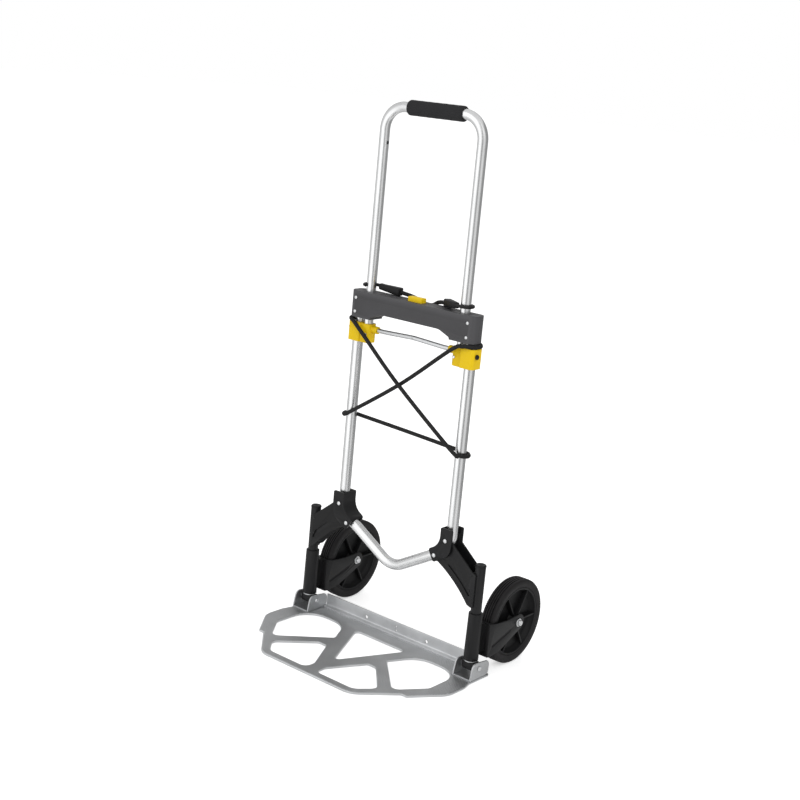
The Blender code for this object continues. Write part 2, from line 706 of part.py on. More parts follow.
def make_arm(name, side, skin):
    """A channel of two cheeks that joins the frame's knee to the post, with a half collar."""
    outline = [(side * x, z) for x, z in cheek_outline()]
    slot = [(side * x, z) for x, z in slot_outline()]
    inside = CHEEK_OUTER - CHEEK_THICKNESS
    arm = slab(name, [outline, slot], "XZ", -CHEEK_OUTER, -inside, skin)
    rear = slab("arm_rear_cheek", [outline, slot], "XZ", inside, CHEEK_OUTER, None, CUTTERS)
    web_points = arm_lower_edge(0)[2:] + list(reversed(arm_lower_edge(0.0030)[2:]))
    web = slab("arm_web", [[(side * x, z) for x, z in web_points]], "XZ", -CHEEK_OUTER + 0.0005,
               CHEEK_OUTER - 0.0005, None, CUTTERS)
    ring_inner = POST_RADIUS + GAP
    ring_outer = CHEEK_OUTER - 0.0012
    half_ring = arc((0, 0), ring_outer, 90, 270, 14) + arc((0, 0), ring_inner, 270, 90, 14)
    ring_points = [(side * (POST_X + x), y) for x, y in half_ring]
    ring = slab("arm_collar", [ring_points], "XY", COLLAR_LOW, COLLAR_HIGH, None, CUTTERS)
    join(arm, rear, web, ring)
    for x, z in bracket_rivet_places():
        cut(arm, rivet_bore(side * x, z))
    return arm


def make_post(side_name, side, black, cap_skin):
    """The upright post, its cap and the knuckle that carries the toe plate's hinge pin."""
    x = side * POST_X
    bottom = KNUCKLE_TOP + GAP
    drum("post_" + side_name, (x, 0, (bottom + POST_TOP) / 2), "Z", POST_RADIUS, POST_TOP - bottom, black,
         None, 24)
    low = POST_TOP + GAP
    rim = POST_RADIUS + 0.0006
    lathe("post_cap_" + side_name, [(0, low + 0.0036), (rim - 0.0020, low + 0.0034), (rim, low + 0.0018),
                                    (rim, low), (0, low)], (x, 0, 0), "Z", cap_skin, 24)
    knuckle = drum("knuckle_" + side_name, (x, 0, HINGE_Z), "X", KNUCKLE_RADIUS, 2 * KNUCKLE_HALF, black,
                   None, 24)
    neck = block("knuckle_neck", (x - KNUCKLE_HALF, -KNUCKLE_RADIUS, HINGE_Z),
                 (x + KNUCKLE_HALF, KNUCKLE_RADIUS, KNUCKLE_TOP), None, CUTTERS)
    join(knuckle, neck)
    cut(knuckle, drum("knuckle_bore_cutter", (x, 0, HINGE_Z), "X", PIN_RADIUS + RUN, 0.06, None, CUTTERS, 16))


def make_return_ring(name, side, skin):
    """The wire that runs round the foot of the wheel's sleeve."""
    centre = (side * POST_X, 0, (KNUCKLE_TOP + SLEEVE_BOTTOM) / 2)
    wire = (SLEEVE_BOTTOM - KNUCKLE_TOP) / 2 - GAP
    radius = POST_RADIUS + wire + RUN
    profile = arc((radius, 0), wire, 90, -210, 5)
    return turned(name, profile, centre, "Z", skin, 18)


# ---------------------------------------------------------------- toe plate
def plate_outline():
    """Plan of the toe plate: half of it, then its mirror image."""
    step = 0.0125
    edge = 0.1950
    step_y = -0.7000 * PLATE_FRONT
    rear_side = POST_X + EAR_HALF + 0.0010
    half = [(rear_side, PLATE_REAR, 0.004), (rear_side, -0.0200, 0.02), (PLATE_SIDE, -0.0500, 0.03),
            (PLATE_SIDE, -0.1000, 0.022), (edge, step_y, 0.002), (edge - step, step_y, 0.002),
            (0.1180, -PLATE_FRONT + 0.0010, 0.024), (0.1000, -PLATE_FRONT, 0.0)]
    return rounded(half + mirrored(half))


def plate_windows():
    """The five openings of the toe plate: two pairs and the triangle in the middle."""
    front = -PLATE_FRONT + 0.0185
    rear = -0.0120
    outer = PLATE_SIDE - 0.0420
    big = [(0.0700, -0.0760, 0.007), (0.1010, rear, 0.012), (outer, rear, 0.034), (outer, -0.1080, 0.012),
           (0.1600, -0.1680, 0.012)]
    small = [(0.0550, -0.1170, 0.007), (0.0760, -0.1170, 0.008), (0.1390, -0.1860, 0.006),
             (0.1100, front, 0.014), (0.0145, front, 0.014), (0.0145, -0.1950, 0.012)]
    triangle = [(0.0, -0.1560, 0.005), (-0.0660, rear - 0.0015, 0.007), (0.0660, rear - 0.0015, 0.007)]
    windows = []
    for corners in (big, small):
        windows.append(rounded(corners))
        windows.append(rounded(mirrored(corners)))
    windows.append(rounded(triangle))
    return windows


def make_toe_plate(skin):
    """The plate with its rear flange, in one extruded piece."""
    plate = slab("toe_plate", [plate_outline()] + plate_windows(), "XY", FLOOR, FLOOR + PLATE_THICKNESS, skin)
    back = PLATE_REAR - 0.0005
    face = back - FLANGE_THICKNESS
    ledge = 0.0080
    section = [(face - 0.0090, PLATE_THICKNESS - 0.0010), (back, PLATE_THICKNESS - 0.0010),
               (back, FLANGE_HEIGHT - 0.0010), (back - 0.0010, FLANGE_HEIGHT), (face + 0.0010, FLANGE_HEIGHT),
               (face, FLANGE_HEIGHT - 0.0010), (face, ledge + 0.0030), (face - 0.0010, ledge + 0.0010),
               (face - 0.0080, ledge), (face - 0.0095, ledge - 0.0012), (face - 0.0090, ledge - 0.0024)]
    reach = POST_X - EAR_HALF - 2 * GAP
    flange = slab("flange", [section], "YZ", -reach, reach, None, CUTTERS)
    join(plate, flange)
    for x, z, radius in ((-0.0805, 0.0170, 0.0030), (0.0805, 0.0170, 0.0030), (0.0, 0.0225, 0.0017),
                         (0.0, 0.0140, 0.0017)):
        cut(plate, drum("flange_hole_cutter", (x, back, z), "Y", radius, 0.03, None, CUTTERS, 16))
    return plate


def ear_outline():
    base = PLATE_THICKNESS + GAP
    return rounded([(-0.0265, base, 0.001), (-0.0190, HINGE_Z + 0.0150, 0.007),
                    (0.0330, HINGE_Z + 0.0090, 0.006), (0.0330, base, 0.010)], 3)


def make_hinge_bracket(name, side, skin):
    """The clevis on the toe plate: a base with an ear on each side of the post."""
    x = side * POST_X
    base_low = PLATE_THICKNESS + GAP
    reach = EAR_HALF - 0.0010
    base = block(name, (x - reach, -0.0255, base_low), (x + reach, 0.0200, base_low + EAR_THICKNESS), skin)
    for half in (-1, 1):
        faces = sorted((x + half * EAR_HALF, x + half * (EAR_HALF - EAR_THICKNESS)))
        join(base, slab("ear", [ear_outline()], "YZ", faces[0], faces[1], None, CUTTERS))
    cut(base, drum("ear_bore_cutter", (x, 0, HINGE_Z), "X", PIN_RADIUS + GAP, 0.08, None, CUTTERS, 16))
    return base


def make_hinge_pin(name, side, skin):
    x = side * POST_X
    head = EAR_HALF + GAP
    profile = [(0, head + 0.0026), (0.0040, head + 0.0022), (0.0050, head), (PIN_RADIUS, head),
               (PIN_RADIUS, -head), (0.0050, -head), (0.0040, -head - 0.0022), (0, -head - 0.0026)]
    return lathe(name, profile, (x, 0, HINGE_Z), "X", skin, 14)


def make_hinge_spring(name, side, skin):
    """The torsion spring on the hinge pin, between the knuckle and the outer ear."""
    wire = 0.0008
    low = KNUCKLE_HALF + GAP + wire
    high = EAR_HALF - EAR_THICKNESS - GAP - wire
    spring = coil(name, (0, 0), PIN_RADIUS + wire + 0.0012, wire, low, high, 2, skin, "X")
    spring.data.transform(Matrix.Translation((POST_X, 0, HINGE_Z)))
    if side < 0:
        spring.data.transform(Matrix.Translation((-2 * POST_X, 0, 0)))
    return spring


# ---------------------------------------------------------------- wheels
def fork_plate_outline():
    """Side view (Y, Z) of one fork plate, from the closing wall to the axle's boss."""
    boss = 0.0175
    wall = 0.0250
    top = SLEEVE_TOP - 0.0290
    points = [(wall, SLEEVE_BOTTOM + 0.0020), (wall + 0.012, SLEEVE_BOTTOM + 0.0005),
              (WHEEL_Y - 0.0550, AXLE_Z - 0.0440)]
    points += arc((WHEEL_Y, AXLE_Z), boss, -55, 85, 10)
    points += [(WHEEL_Y - 0.0160, AXLE_Z + 0.0155), (WHEEL_Y - 0.0400, AXLE_Z + 0.0145),
               (wall + 0.0200, top - 0.0005), (wall, top + 0.0040)]
    return points


def make_fork(name, side, skin):
    """The sleeve on the post with the two plates that hold the wheel."""
    x = side * POST_X
    height = SLEEVE_TOP - SLEEVE_BOTTOM
    fork = drum(name, (x, 0, (SLEEVE_TOP + SLEEVE_BOTTOM) / 2), "Z", SLEEVE_RADIUS + 0.0006, height, skin,
                None, 24, SLEEVE_RADIUS - 0.0004)
    outline = fork_plate_outline()
    solid = slab("fork_plates", [outline], "YZ", x - FORK_OUTER, x + FORK_OUTER, None, CUTTERS)
    web = slab("fork_web", [[(0.004, SLEEVE_BOTTOM + 0.0140), (0.029, SLEEVE_BOTTOM + 0.0145),
                             (0.029, SLEEVE_TOP - 0.0270), (0.004, SLEEVE_TOP - 0.0200)]],
               "YZ", x - 0.0110, x + 0.0110, None, CUTTERS)
    join(fork, solid, web)
    well = drum("wheel_well_cutter", (x, WHEEL_Y, AXLE_Z), "X", WHEEL_RADIUS + 0.0030, 2 * FORK_INNER, None,
                CUTTERS, 48)
    bore = drum("sleeve_bore_cutter", (x, 0, SLEEVE_TOP), "Z", POST_RADIUS + RUN, 0.4, None, CUTTERS, 24)
    axle_hole = drum("axle_hole_cutter", (x, WHEEL_Y, AXLE_Z), "X", AXLE_RADIUS + GAP, 0.1, None, CUTTERS, 20)
    cut(fork, well, bore, axle_hole)
    return fork


def make_axle(name, side, skin):
    """The axle bolt with its washers and nut."""
    x = side * POST_X
    seat = FORK_OUTER + GAP
    head = 0.0062
    washer = head + 0.0022
    nut = head - 0.0004
    profile = [(0, seat + 0.0062), (head - 0.0012, seat + 0.0060), (head, seat + 0.0040),
               (head, seat + 0.0010), (washer, seat + 0.0010), (washer, seat), (AXLE_RADIUS, seat),
               (AXLE_RADIUS, -seat), (washer, -seat), (washer, -seat - 0.0010), (nut, -seat - 0.0010),
               (nut, -seat - 0.0050), (0, -seat - 0.0056)]
    profile = [(radius, side * height) for radius, height in profile]
    return lathe(name, profile, (x, WHEEL_Y, AXLE_Z), "X", skin, 14)


def make_wheel(side_name, side, rim_skin, tyre_skin, bush_skin):
    x = side * POST_X
    centre = (x, WHEEL_Y, AXLE_Z)
    lip = RIM_RADIUS - 0.0045
    web = 0.0022
    bush_outer = AXLE_RADIUS + GAP + 0.0020
    bore = bush_outer + GAP
    edge = RIM_HALF_WIDTH + 0.0012
    profile = [(RIM_RADIUS - 0.0006, edge), (RIM_RADIUS - 0.0006, -edge), (lip, -edge), (lip - 0.0050, -web),
               (HUB_RADIUS + 0.0020, -web), (HUB_RADIUS, -HUB_HALF_WIDTH), (bore, -HUB_HALF_WIDTH),
               (bore, HUB_HALF_WIDTH), (HUB_RADIUS, HUB_HALF_WIDTH), (HUB_RADIUS + 0.0020, web),
               (lip - 0.0050, web), (lip, edge)]
    rim = turned("wheel_rim_" + side_name, profile, centre, "X", rim_skin, 32)
    ribs = 6
    for index in range(ribs):
        angle = math.tau * (index + 0.5) / ribs
        rib = block("rib", (-RIM_HALF_WIDTH + 0.002, -0.0016, HUB_RADIUS - 0.0020),
                    (RIM_HALF_WIDTH - 0.002, 0.0016, lip - 0.0004), None, CUTTERS)
        rib.data.transform(Matrix.Translation(centre) @ Matrix.Rotation(angle, 4, "X"))
        join(rim, rib)
    shoulder = WHEEL_RADIUS - 0.0030
    tread_half = TYRE_HALF_WIDTH - 0.0040
    tread = [(shoulder, TYRE_HALF_WIDTH - 0.0006), (WHEEL_RADIUS - 0.0004, tread_half), (WHEEL_RADIUS, 0.0),
             (WHEEL_RADIUS - 0.0004, -tread_half), (shoulder, -TYRE_HALF_WIDTH + 0.0006)]
    inner = RIM_RADIUS - 0.0003
    tyre_profile = tread + [(inner + 0.0030, -TYRE_HALF_WIDTH), (inner, -RIM_HALF_WIDTH - 0.0010),
                            (inner, RIM_HALF_WIDTH + 0.0010), (inner + 0.0030, TYRE_HALF_WIDTH)]
    tyre = turned("tyre_" + side_name, tyre_profile, centre, "X", tyre_skin, 40)
    bush_profile = [(bush_outer, HUB_HALF_WIDTH), (bush_outer, -HUB_HALF_WIDTH),
                    (AXLE_RADIUS + GAP, -HUB_HALF_WIDTH), (AXLE_RADIUS + GAP, HUB_HALF_WIDTH)]
    bush = turned("wheel_bush_" + side_name, bush_profile, centre, "X", bush_skin, 16)
    return rim, tyre, bush


# ---------------------------------------------------------------- bungee cord
CORD_ROUTE = [
    # from the left hook, behind the crossbar, to the right leg
    ((-0.0560, 0.0150, 0.7125), 1), ((-0.0250, 0.0235, 0.7065), 2), ((0.0100, 0.0260, 0.6960), 2),
    ((0.0700, 0.0260, 0.6760), 2), ((0.1200, 0.0250, 0.6570), 2), ((0.1390, 0.0230, 0.6480), 2),
    ((0.1520, 0.0130, 0.6460), 2), ((0.1568, 0.0000, 0.6460), 2), ((0.1510, -0.0140, 0.6460), 2),
    ((0.1340, -0.0208, 0.6450), 2),
    # front strand down to the left leg
    ((0.1080, -0.0220, 0.6330), 2), ((-0.0060, -0.0165, 0.5430), 2), ((-0.1280, -0.0175, 0.4590), 2),
    ((-0.1480, -0.0145, 0.4490), 2), ((-0.1568, 0.0000, 0.4480), 2), ((-0.1480, 0.0145, 0.4470), 2),
    ((-0.1280, 0.0178, 0.4450), 2), ((0.0000, 0.0180, 0.4400), 2), ((0.1280, 0.0178, 0.4340), 2),
    ((0.1480, 0.0145, 0.4330), 2), ((0.1568, 0.0000, 0.4330), 2), ((0.1480, -0.0145, 0.4350), 2),
    # front strand up to the left leg again
    ((0.1280, -0.0185, 0.4430), 2), ((-0.0090, -0.0260, 0.5430), 2), ((-0.1090, -0.0218, 0.6200), 2),
    ((-0.1360, -0.0208, 0.6410), 2), ((-0.1510, -0.0140, 0.6460), 2), ((-0.1568, 0.0000, 0.6460), 2),
    ((-0.1520, 0.0130, 0.6460), 2), ((-0.1390, 0.0230, 0.6480), 2), ((-0.1150, 0.0280, 0.6580), 2),
    ((-0.0600, 0.0335, 0.6750), 2), ((0.0080, 0.0355, 0.6960), 2), ((0.0330, 0.0265, 0.7070), 2),
    ((0.0660, 0.0105, 0.7130), 1),
]


def beside_leg(knot):
    """Move a knot of the route out with its frame leg, where it lies near one."""
    x, y, z = knot
    if abs(x) < 0.1:
        return knot
    return x + math.copysign(FRAME_X - CORD_LEG_X, x), y, z


def make_cord(skin):
    knots = [beside_leg(knot) for knot, _ in CORD_ROUTE]
    counts = [count for _, count in CORD_ROUTE[:-1]]
    return rod("bungee_cord", smooth_path(knots, counts), CORD_RADIUS, skin, PARTS, 2)


def make_hook(name, side, skin):
    """A cord hook: a moulded body on the cord's end and a claw round the handle's leg.

    The left claw passes behind its leg and the right one in front, so one hook is the other
    turned half round.
    """
    claw = 0.0034
    radius = HANDLE_RADIUS + claw + 0.0008
    height = CROSSBAR_TOP + 0.0130
    cord_end = Vector(CORD_ROUTE[0][0] if side < 0 else CORD_ROUTE[-1][0])
    root = Vector((side * (HANDLE_X - 0.0130), -side * 0.0120, height))
    along = (root - cord_end).normalized()
    start = cord_end + along * 0.0016
    body = drum(name, (0, 0, 0), "Z", 0.0072, (root - start).length, skin, None, 4, 0.0058)
    turn = along.to_track_quat("Z", "Y").to_matrix().to_4x4()
    body.data.transform(Matrix.Translation((start + root) / 2) @ turn @ Matrix.Diagonal((1.0, 1.2, 1.0, 1.0))
                        @ Matrix.Rotation(math.radians(45), 4, "Z"))
    soften(body, 0.0010, 1, 50)
    bend = arc((HANDLE_X, 0), radius, 105, -75, 9)
    route = [(bend[0][0] - 0.0120, bend[0][1])] + bend
    join(body, rod("hook_claw", [(side * x, -side * y, height) for x, y in route], claw, None, CUTTERS, 2))
    return body


# ---------------------------------------------------------------- assembly
def main():
    alloy = material("polished_tube", SILVER, 0.28, 1.0)
    satin = material("satin_plate", SATIN, 0.42, 1.0)
    steel = material("zinc_steel", SILVER, 0.35, 1.0)
    black_steel = material("black_steel", BLACK, 0.45, 0.0)
    black_plastic = material("black_plastic", BLACK, 0.55, 0.0)
    grey_plastic = material("grey_plastic", DARK_GREY, 0.55, 0.0)
    yellow = material("yellow_plastic", YELLOW, 0.40, 0.0)
    foam = material("foam", BLACK, 0.90, 0.0)
    rubber = material("rubber", BLACK, 0.80, 0.0)
    cord_skin = material("cord", BLACK, 0.75, 0.0)

    make_frame_tube(alloy)
    make_crossbar(grey_plastic, steel)
    make_cord(cord_skin)
    for side_name, side in (("left", -1), ("right", 1)):
        make_bracket("tube_bracket_" + side_name, side, black_plastic)
        make_arm("arm_" + side_name, side, black_steel)
        make_post(side_name, side, black_steel, black_plastic)
        make_return_ring("sleeve_wire_" + side_name, side, steel)
        make_hook("cord_hook_" + side_name, side, black_plastic)
        for level, (x, z) in zip(("upper", "lower"), bracket_rivet_places()):
            through_rivet("bracket_rivet_" + side_name + "_" + level, side * x, z, BRACKET_HALF_DEPTH, steel)

    slide_origin = (0, 0, SLIDER_BOTTOM)
    slide = pivot("handle_slide", slide_origin)
    handle, grip = make_handle(alloy, foam)
    carry(slide, slide_origin, handle, grip, make_brace(steel))
    for side_name, side in (("left", -1), ("right", 1)):
        carry(slide, slide_origin, make_slider("slider_" + side_name, side, yellow),
              make_slider_screw("slider_screw_" + side_name, side, steel),
              make_slider_bolt("slider_bolt_" + side_name, side, black_plastic))

    press_origin = (0, 0, CROSSBAR_TOP)
    press = pivot("release_press", press_origin)
    head, pins, spring = make_button(yellow, steel)
    carry(press, press_origin, head)
    for pin in pins:
        middle = (0, 0, LOCK_Z)
        carry(pivot(pin.name + "_slide", middle), middle, pin)

    fold_origin = (0, 0, HINGE_Z)
    fold = pivot("toe_plate_fold", fold_origin)
    carry(fold, fold_origin, make_toe_plate(satin))
    for side_name, side in (("left", -1), ("right", 1)):
        carry(fold, fold_origin, make_hinge_bracket("hinge_bracket_" + side_name, side, satin),
              make_hinge_pin("hinge_pin_" + side_name, side, steel),
              make_hinge_spring("hinge_spring_" + side_name, side, steel))

    for side_name, side in (("left", -1), ("right", 1)):
        swing_origin = Vector((side * POST_X, 0, AXLE_Z))
        swing = pivot("wheel_swing_" + side_name, swing_origin)
        carry(swing, swing_origin, make_fork("wheel_fork_" + side_name, side, black_plastic),
              make_axle("axle_bolt_" + side_name, side, steel))
        spin_origin = Vector((side * POST_X, WHEEL_Y, AXLE_Z))
        spin = pivot("wheel_spin_" + side_name, spin_origin, swing)
        carry(spin, spin_origin, *make_wheel(side_name, side, black_plastic, rubber, steel))


main()
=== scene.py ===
"""Folding hand truck: the visual model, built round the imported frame.

Every length is in metres and every angle in degrees unless its name says otherwise.
-Y is the front, where the toe plate reaches out; "left" is -X and "right" is +X.
"""

import logging
import math
from dataclasses import dataclass
from enum import Enum
from typing import Callable, Sequence

import bpy
from mathutils import Matrix, Quaternion, Vector


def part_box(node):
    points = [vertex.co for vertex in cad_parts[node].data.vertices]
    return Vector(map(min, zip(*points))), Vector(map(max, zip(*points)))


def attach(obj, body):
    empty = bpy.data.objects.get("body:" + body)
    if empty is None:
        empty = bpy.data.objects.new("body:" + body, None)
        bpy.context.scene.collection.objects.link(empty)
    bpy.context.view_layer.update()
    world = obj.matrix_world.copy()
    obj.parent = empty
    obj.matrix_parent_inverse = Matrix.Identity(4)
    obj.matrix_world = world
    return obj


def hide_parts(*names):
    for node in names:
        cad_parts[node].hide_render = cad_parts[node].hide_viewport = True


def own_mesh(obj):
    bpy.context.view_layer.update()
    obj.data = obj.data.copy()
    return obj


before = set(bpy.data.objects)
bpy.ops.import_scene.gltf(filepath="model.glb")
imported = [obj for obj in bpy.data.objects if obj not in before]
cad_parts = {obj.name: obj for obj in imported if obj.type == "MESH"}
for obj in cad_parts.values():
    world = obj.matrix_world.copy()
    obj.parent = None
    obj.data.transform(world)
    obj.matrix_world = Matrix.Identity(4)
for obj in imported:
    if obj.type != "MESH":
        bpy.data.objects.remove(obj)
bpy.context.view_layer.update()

LOG = logging.getLogger("hand_truck")
Point = tuple[float, float, float]


class Side(Enum):
    """The two sides of the truck, with the sign of their X."""

    LEFT = -1
    RIGHT = 1

    @property
    def word(self) -> str:
        """The side's name as node names spell it."""
        return self.name.lower()


class Axis(Enum):
    """A turning axis and the matrix that lays +Z along it."""

    X = Matrix.Rotation(math.radians(90), 4, "Y")
    Y = Matrix.Rotation(math.radians(-90), 4, "X")
    Z = Matrix.Identity(4)


class Plane(Enum):
    """The plane of a flat outline, with the matrix that lays XY in it."""

    XY = ((1, 0, 0, 0), (0, 1, 0, 0), (0, 0, 1, 0), (0, 0, 0, 1))
    XZ = ((1, 0, 0, 0), (0, 0, -1, 0), (0, 1, 0, 0), (0, 0, 0, 1))
    YZ = ((0, 0, 1, 0), (1, 0, 0, 0), (0, 1, 0, 0), (0, 0, 0, 1))

    @property
    def normal(self) -> Vector:
        """The direction in which an outline's thickness is counted."""
        return Vector({"XY": (0, 0, 1), "XZ": (0, 1, 0), "YZ": (1, 0, 0)}[self.name])


# ---------------------------------------------------------------- shading
class Shade:
    """A socket in a material, on which arithmetic adds Math nodes."""

    def __init__(self, graph: "Graph", socket: bpy.types.NodeSocket) -> None:
        """Wrap one output socket of a graph."""
        self.graph = graph
        self.socket = socket

    def math(self, operation: str, *others: "Shade | float") -> "Shade":
        """Add a Math node.

        Args:
            operation: the node's operation, such as ADD.
            others: the values after this one.

        Returns:
            The node's result.
        """
        return self.graph.math(operation, self, *others)

    def __add__(self, other: "Shade | float") -> "Shade":
        """self + other."""
        return self.math("ADD", other)

    __radd__ = __add__

    def __mul__(self, other: "Shade | float") -> "Shade":
        """self * other."""
        return self.math("MULTIPLY", other)

    __rmul__ = __mul__

    def __sub__(self, other: "Shade | float") -> "Shade":
        """self - other."""
        return self.math("SUBTRACT", other)

    def __rsub__(self, other: float) -> "Shade":
        """other - self."""
        return self.graph.math("SUBTRACT", other, self)

    def __pow__(self, other: "Shade | float") -> "Shade":
        """self raised to other."""
        return self.math("POWER", other)

    def step(self, low: float, high: float) -> "Shade":
        """Rise smoothly from 0 at low to 1 at high."""
        ranged = self.graph.node("MapRange", {"Value": self, "From Min": low, "From Max": high},
                                 interpolation_type="SMOOTHSTEP")
        return Shade(self.graph, ranged.outputs[0])


class Graph:
    """The node tree of one material, or of a world."""

    def __init__(self, name: str, world: bool = False) -> None:
        """Start a material, or a world, of that name.

        Args:
            name: the material's or the world's name.
            world: whether it is a world.
        """
        self.material = (bpy.data.worlds if world else bpy.data.materials).new(name)
        self.material.use_nodes = True
        self.tree = self.material.node_tree
        self.shader = self.tree.nodes["Background" if world else "Principled BSDF"]

    def put(self, value: object, socket: bpy.types.NodeSocket) -> None:
        """Give a socket a link or a plain value."""
        if isinstance(value, Shade):
            value = value.socket
        if isinstance(value, bpy.types.NodeSocket):
            self.tree.links.new(value, socket)
        elif value is not None:
            socket.default_value = value

    def node(self, kind: str, inputs: dict[object, object], **settings: object) -> bpy.types.Node:
        """Add a node.

        Args:
            kind: its type's name after "ShaderNode".
            inputs: values or links by socket name or index.
            settings: the node's own settings, set first.

        Returns:
            The new node.
        """
        made = self.tree.nodes.new("ShaderNode" + kind)
        for name, value in settings.items():
            setattr(made, name, value)
        for name, value in inputs.items():
            self.put(value, made.inputs[name])
        return made

    def math(self, operation: str, *values: "Shade | float") -> Shade:
        """Add a Math node over values and return its result."""
        made = self.node("Math", dict(enumerate(values)), operation=operation)
        return Shade(self, made.outputs[0])

    def place(self, stretch: Point = (1.0, 1.0, 1.0), source: str = "Object") -> bpy.types.NodeSocket:
        """Coordinates of the surface, stretched along the axes."""
        coords = self.node("TexCoord", {}).outputs[source]
        return self.node("Mapping", {"Vector": coords, "Scale": stretch}).outputs[0]

    def noise(self, scale: float, detail: float = 2.0, stretch: Point = (1.0, 1.0, 1.0),
              roughness: float = 0.5) -> Shade:
        """Cloudy noise, 0 to 1.

        Args:
            scale: lumps per metre.
            detail: how many finer layers lie on them.
            stretch: how much finer the noise is along each axis.
            roughness: how strong the finer layers are.

        Returns:
            The noise's value.
        """
        made = self.node("TexNoise", {"Vector": self.place(stretch), "Scale": scale, "Detail": detail,
                                      "Roughness": roughness})
        return Shade(self, made.outputs[0])

    def cells(self, scale: float, feature: str = "F1") -> Shade:
        """Distance to the nearest of many scattered points."""
        made = self.node("TexVoronoi", {"Vector": self.place(), "Scale": scale}, feature=feature)
        return Shade(self, made.outputs[0])

    def blend(self, factor: "Shade | float | bpy.types.NodeSocket", first: "Shade | Sequence[float]",
              second: "Shade | Sequence[float]") -> Shade:
        """A colour between two, by a factor.

        Args:
            factor: how much of the second colour shows.
            first: the colour at 0.
            second: the colour at 1.

        Returns:
            The blended colour.
        """
        first, second = (one if isinstance(one, Shade) else (*one, 1.0) for one in (first, second))
        made = self.node("Mix", {0: factor, 6: first, 7: second}, data_type="RGBA")
        return Shade(self, made.outputs[2])

    def relief(self, height: Shade, depth: float, strength: float = 1.0) -> bpy.types.NodeSocket:
        """A normal bumped by a height from 0 to 1 that is depth metres high."""
        made = self.node("Bump", {"Height": height, "Distance": depth, "Strength": strength})
        return made.outputs[0]

    def dress(self, **inputs: object) -> bpy.types.Material:
        """Set the shader's sockets, whose names are written with underscores."""
        for name, value in inputs.items():
            self.put(value, self.shader.inputs[name.replace("_", " ").title().replace("Ior", "IOR")])
        return self.material


Colour = tuple[float, float, float]


@dataclass(frozen=True)
class Finish:
    """A surface finish: its own name, and the record's slot that it belongs to, which is not used."""

    name: str
    slot: str

    def material(self) -> bpy.types.Material:
        """The finish's material, made once."""
        return bpy.data.materials.get(self.name) or self.make()

    def make(self) -> bpy.types.Material:
        """Build the material."""
        raise NotImplementedError


@dataclass(frozen=True)
class DrawnAluminium(Finish):
    """Satin anodised tube: fine lines along the draw, and a soft clouding."""

    colour: Colour = (0.86, 0.865, 0.87)
    roughness: float = 0.20
    grain: Point = (1.0, 1.0, 0.02)

    def make(self) -> bpy.types.Material:
        """Build the material.

        Returns:
            The material.
        """
        graph = Graph(self.name)
        lines = graph.noise(520.0, 2.0, self.grain, 0.5)
        cloud = graph.noise(14.0, 3.0)
        dark = tuple(part * 0.93 for part in self.colour)
        tint = graph.blend(cloud.step(0.35, 0.70), self.colour, dark)
        rough = self.roughness + lines * 0.07 + cloud * 0.05
        return graph.dress(base_color=tint, metallic=1.0, roughness=rough,
                           normal=graph.relief(lines, 0.000006))


@dataclass(frozen=True)
class PlateAluminium(Finish):
    """Rolled or extruded aluminium with scuffs from use; with a pitch, painted shade darkens the grooves
    between ribs.
    """

    colour: Colour = (0.70, 0.71, 0.72)
    roughness: float = 0.40
    grain: Point = (0.03, 1.0, 1.0)
    pitch: float = 0.0
    # Colour of the painted shade in the grooves between ribs.
    hollow: Colour = (0.13, 0.13, 0.135)

    def make(self) -> bpy.types.Material:
        """Build the material.

        Returns:
            The material.
        """
        graph = Graph(self.name)
        lines = graph.noise(1800.0, 3.0, self.grain, 0.65)
        cloud = graph.noise(22.0, 4.0)
        scuff = graph.noise(160.0, 5.0, (0.25, 1.0, 1.0), 0.7).step(0.60, 0.72)
        dark = tuple(part * 0.86 for part in self.colour)
        tint = graph.blend(cloud.step(0.30, 0.75), self.colour, dark)
        # Painted shade: with a pitch, a dark stripe lies along every gap between ribs, where shade falls in
        # the grooves.
        if self.pitch > 0:
            parts = graph.node("SeparateXYZ", {0: graph.place()})
            phase = (Shade(graph, parts.outputs[0]) * (1 / self.pitch)).math("PINGPONG", 0.5) * 2.0
            tint = graph.blend(phase.step(0.10, 0.62), self.hollow, tint)
        rough = self.roughness + lines * 0.10 + scuff * 0.12
        return graph.dress(base_color=tint, metallic=1.0, roughness=rough,
                           normal=graph.relief(lines, 0.00004))


@dataclass(frozen=True)
class ZincSteel(Finish):
    """Bright zinc plating with its faint spangle."""

    colour: Colour = (0.72, 0.73, 0.74)
    roughness: float = 0.30

    def make(self) -> bpy.types.Material:
        """Build the material.

        Returns:
            The material.
        """
        graph = Graph(self.name)
        spangle = graph.cells(900.0)
        cloud = graph.noise(300.0, 3.0)
        dark = tuple(part * 0.84 for part in self.colour)
        tint = graph.blend(spangle.step(0.1, 0.9), self.colour, dark)
        return graph.dress(base_color=tint, metallic=1.0, roughness=self.roughness + cloud * 0.12,
                           normal=graph.relief(cloud, 0.00002))


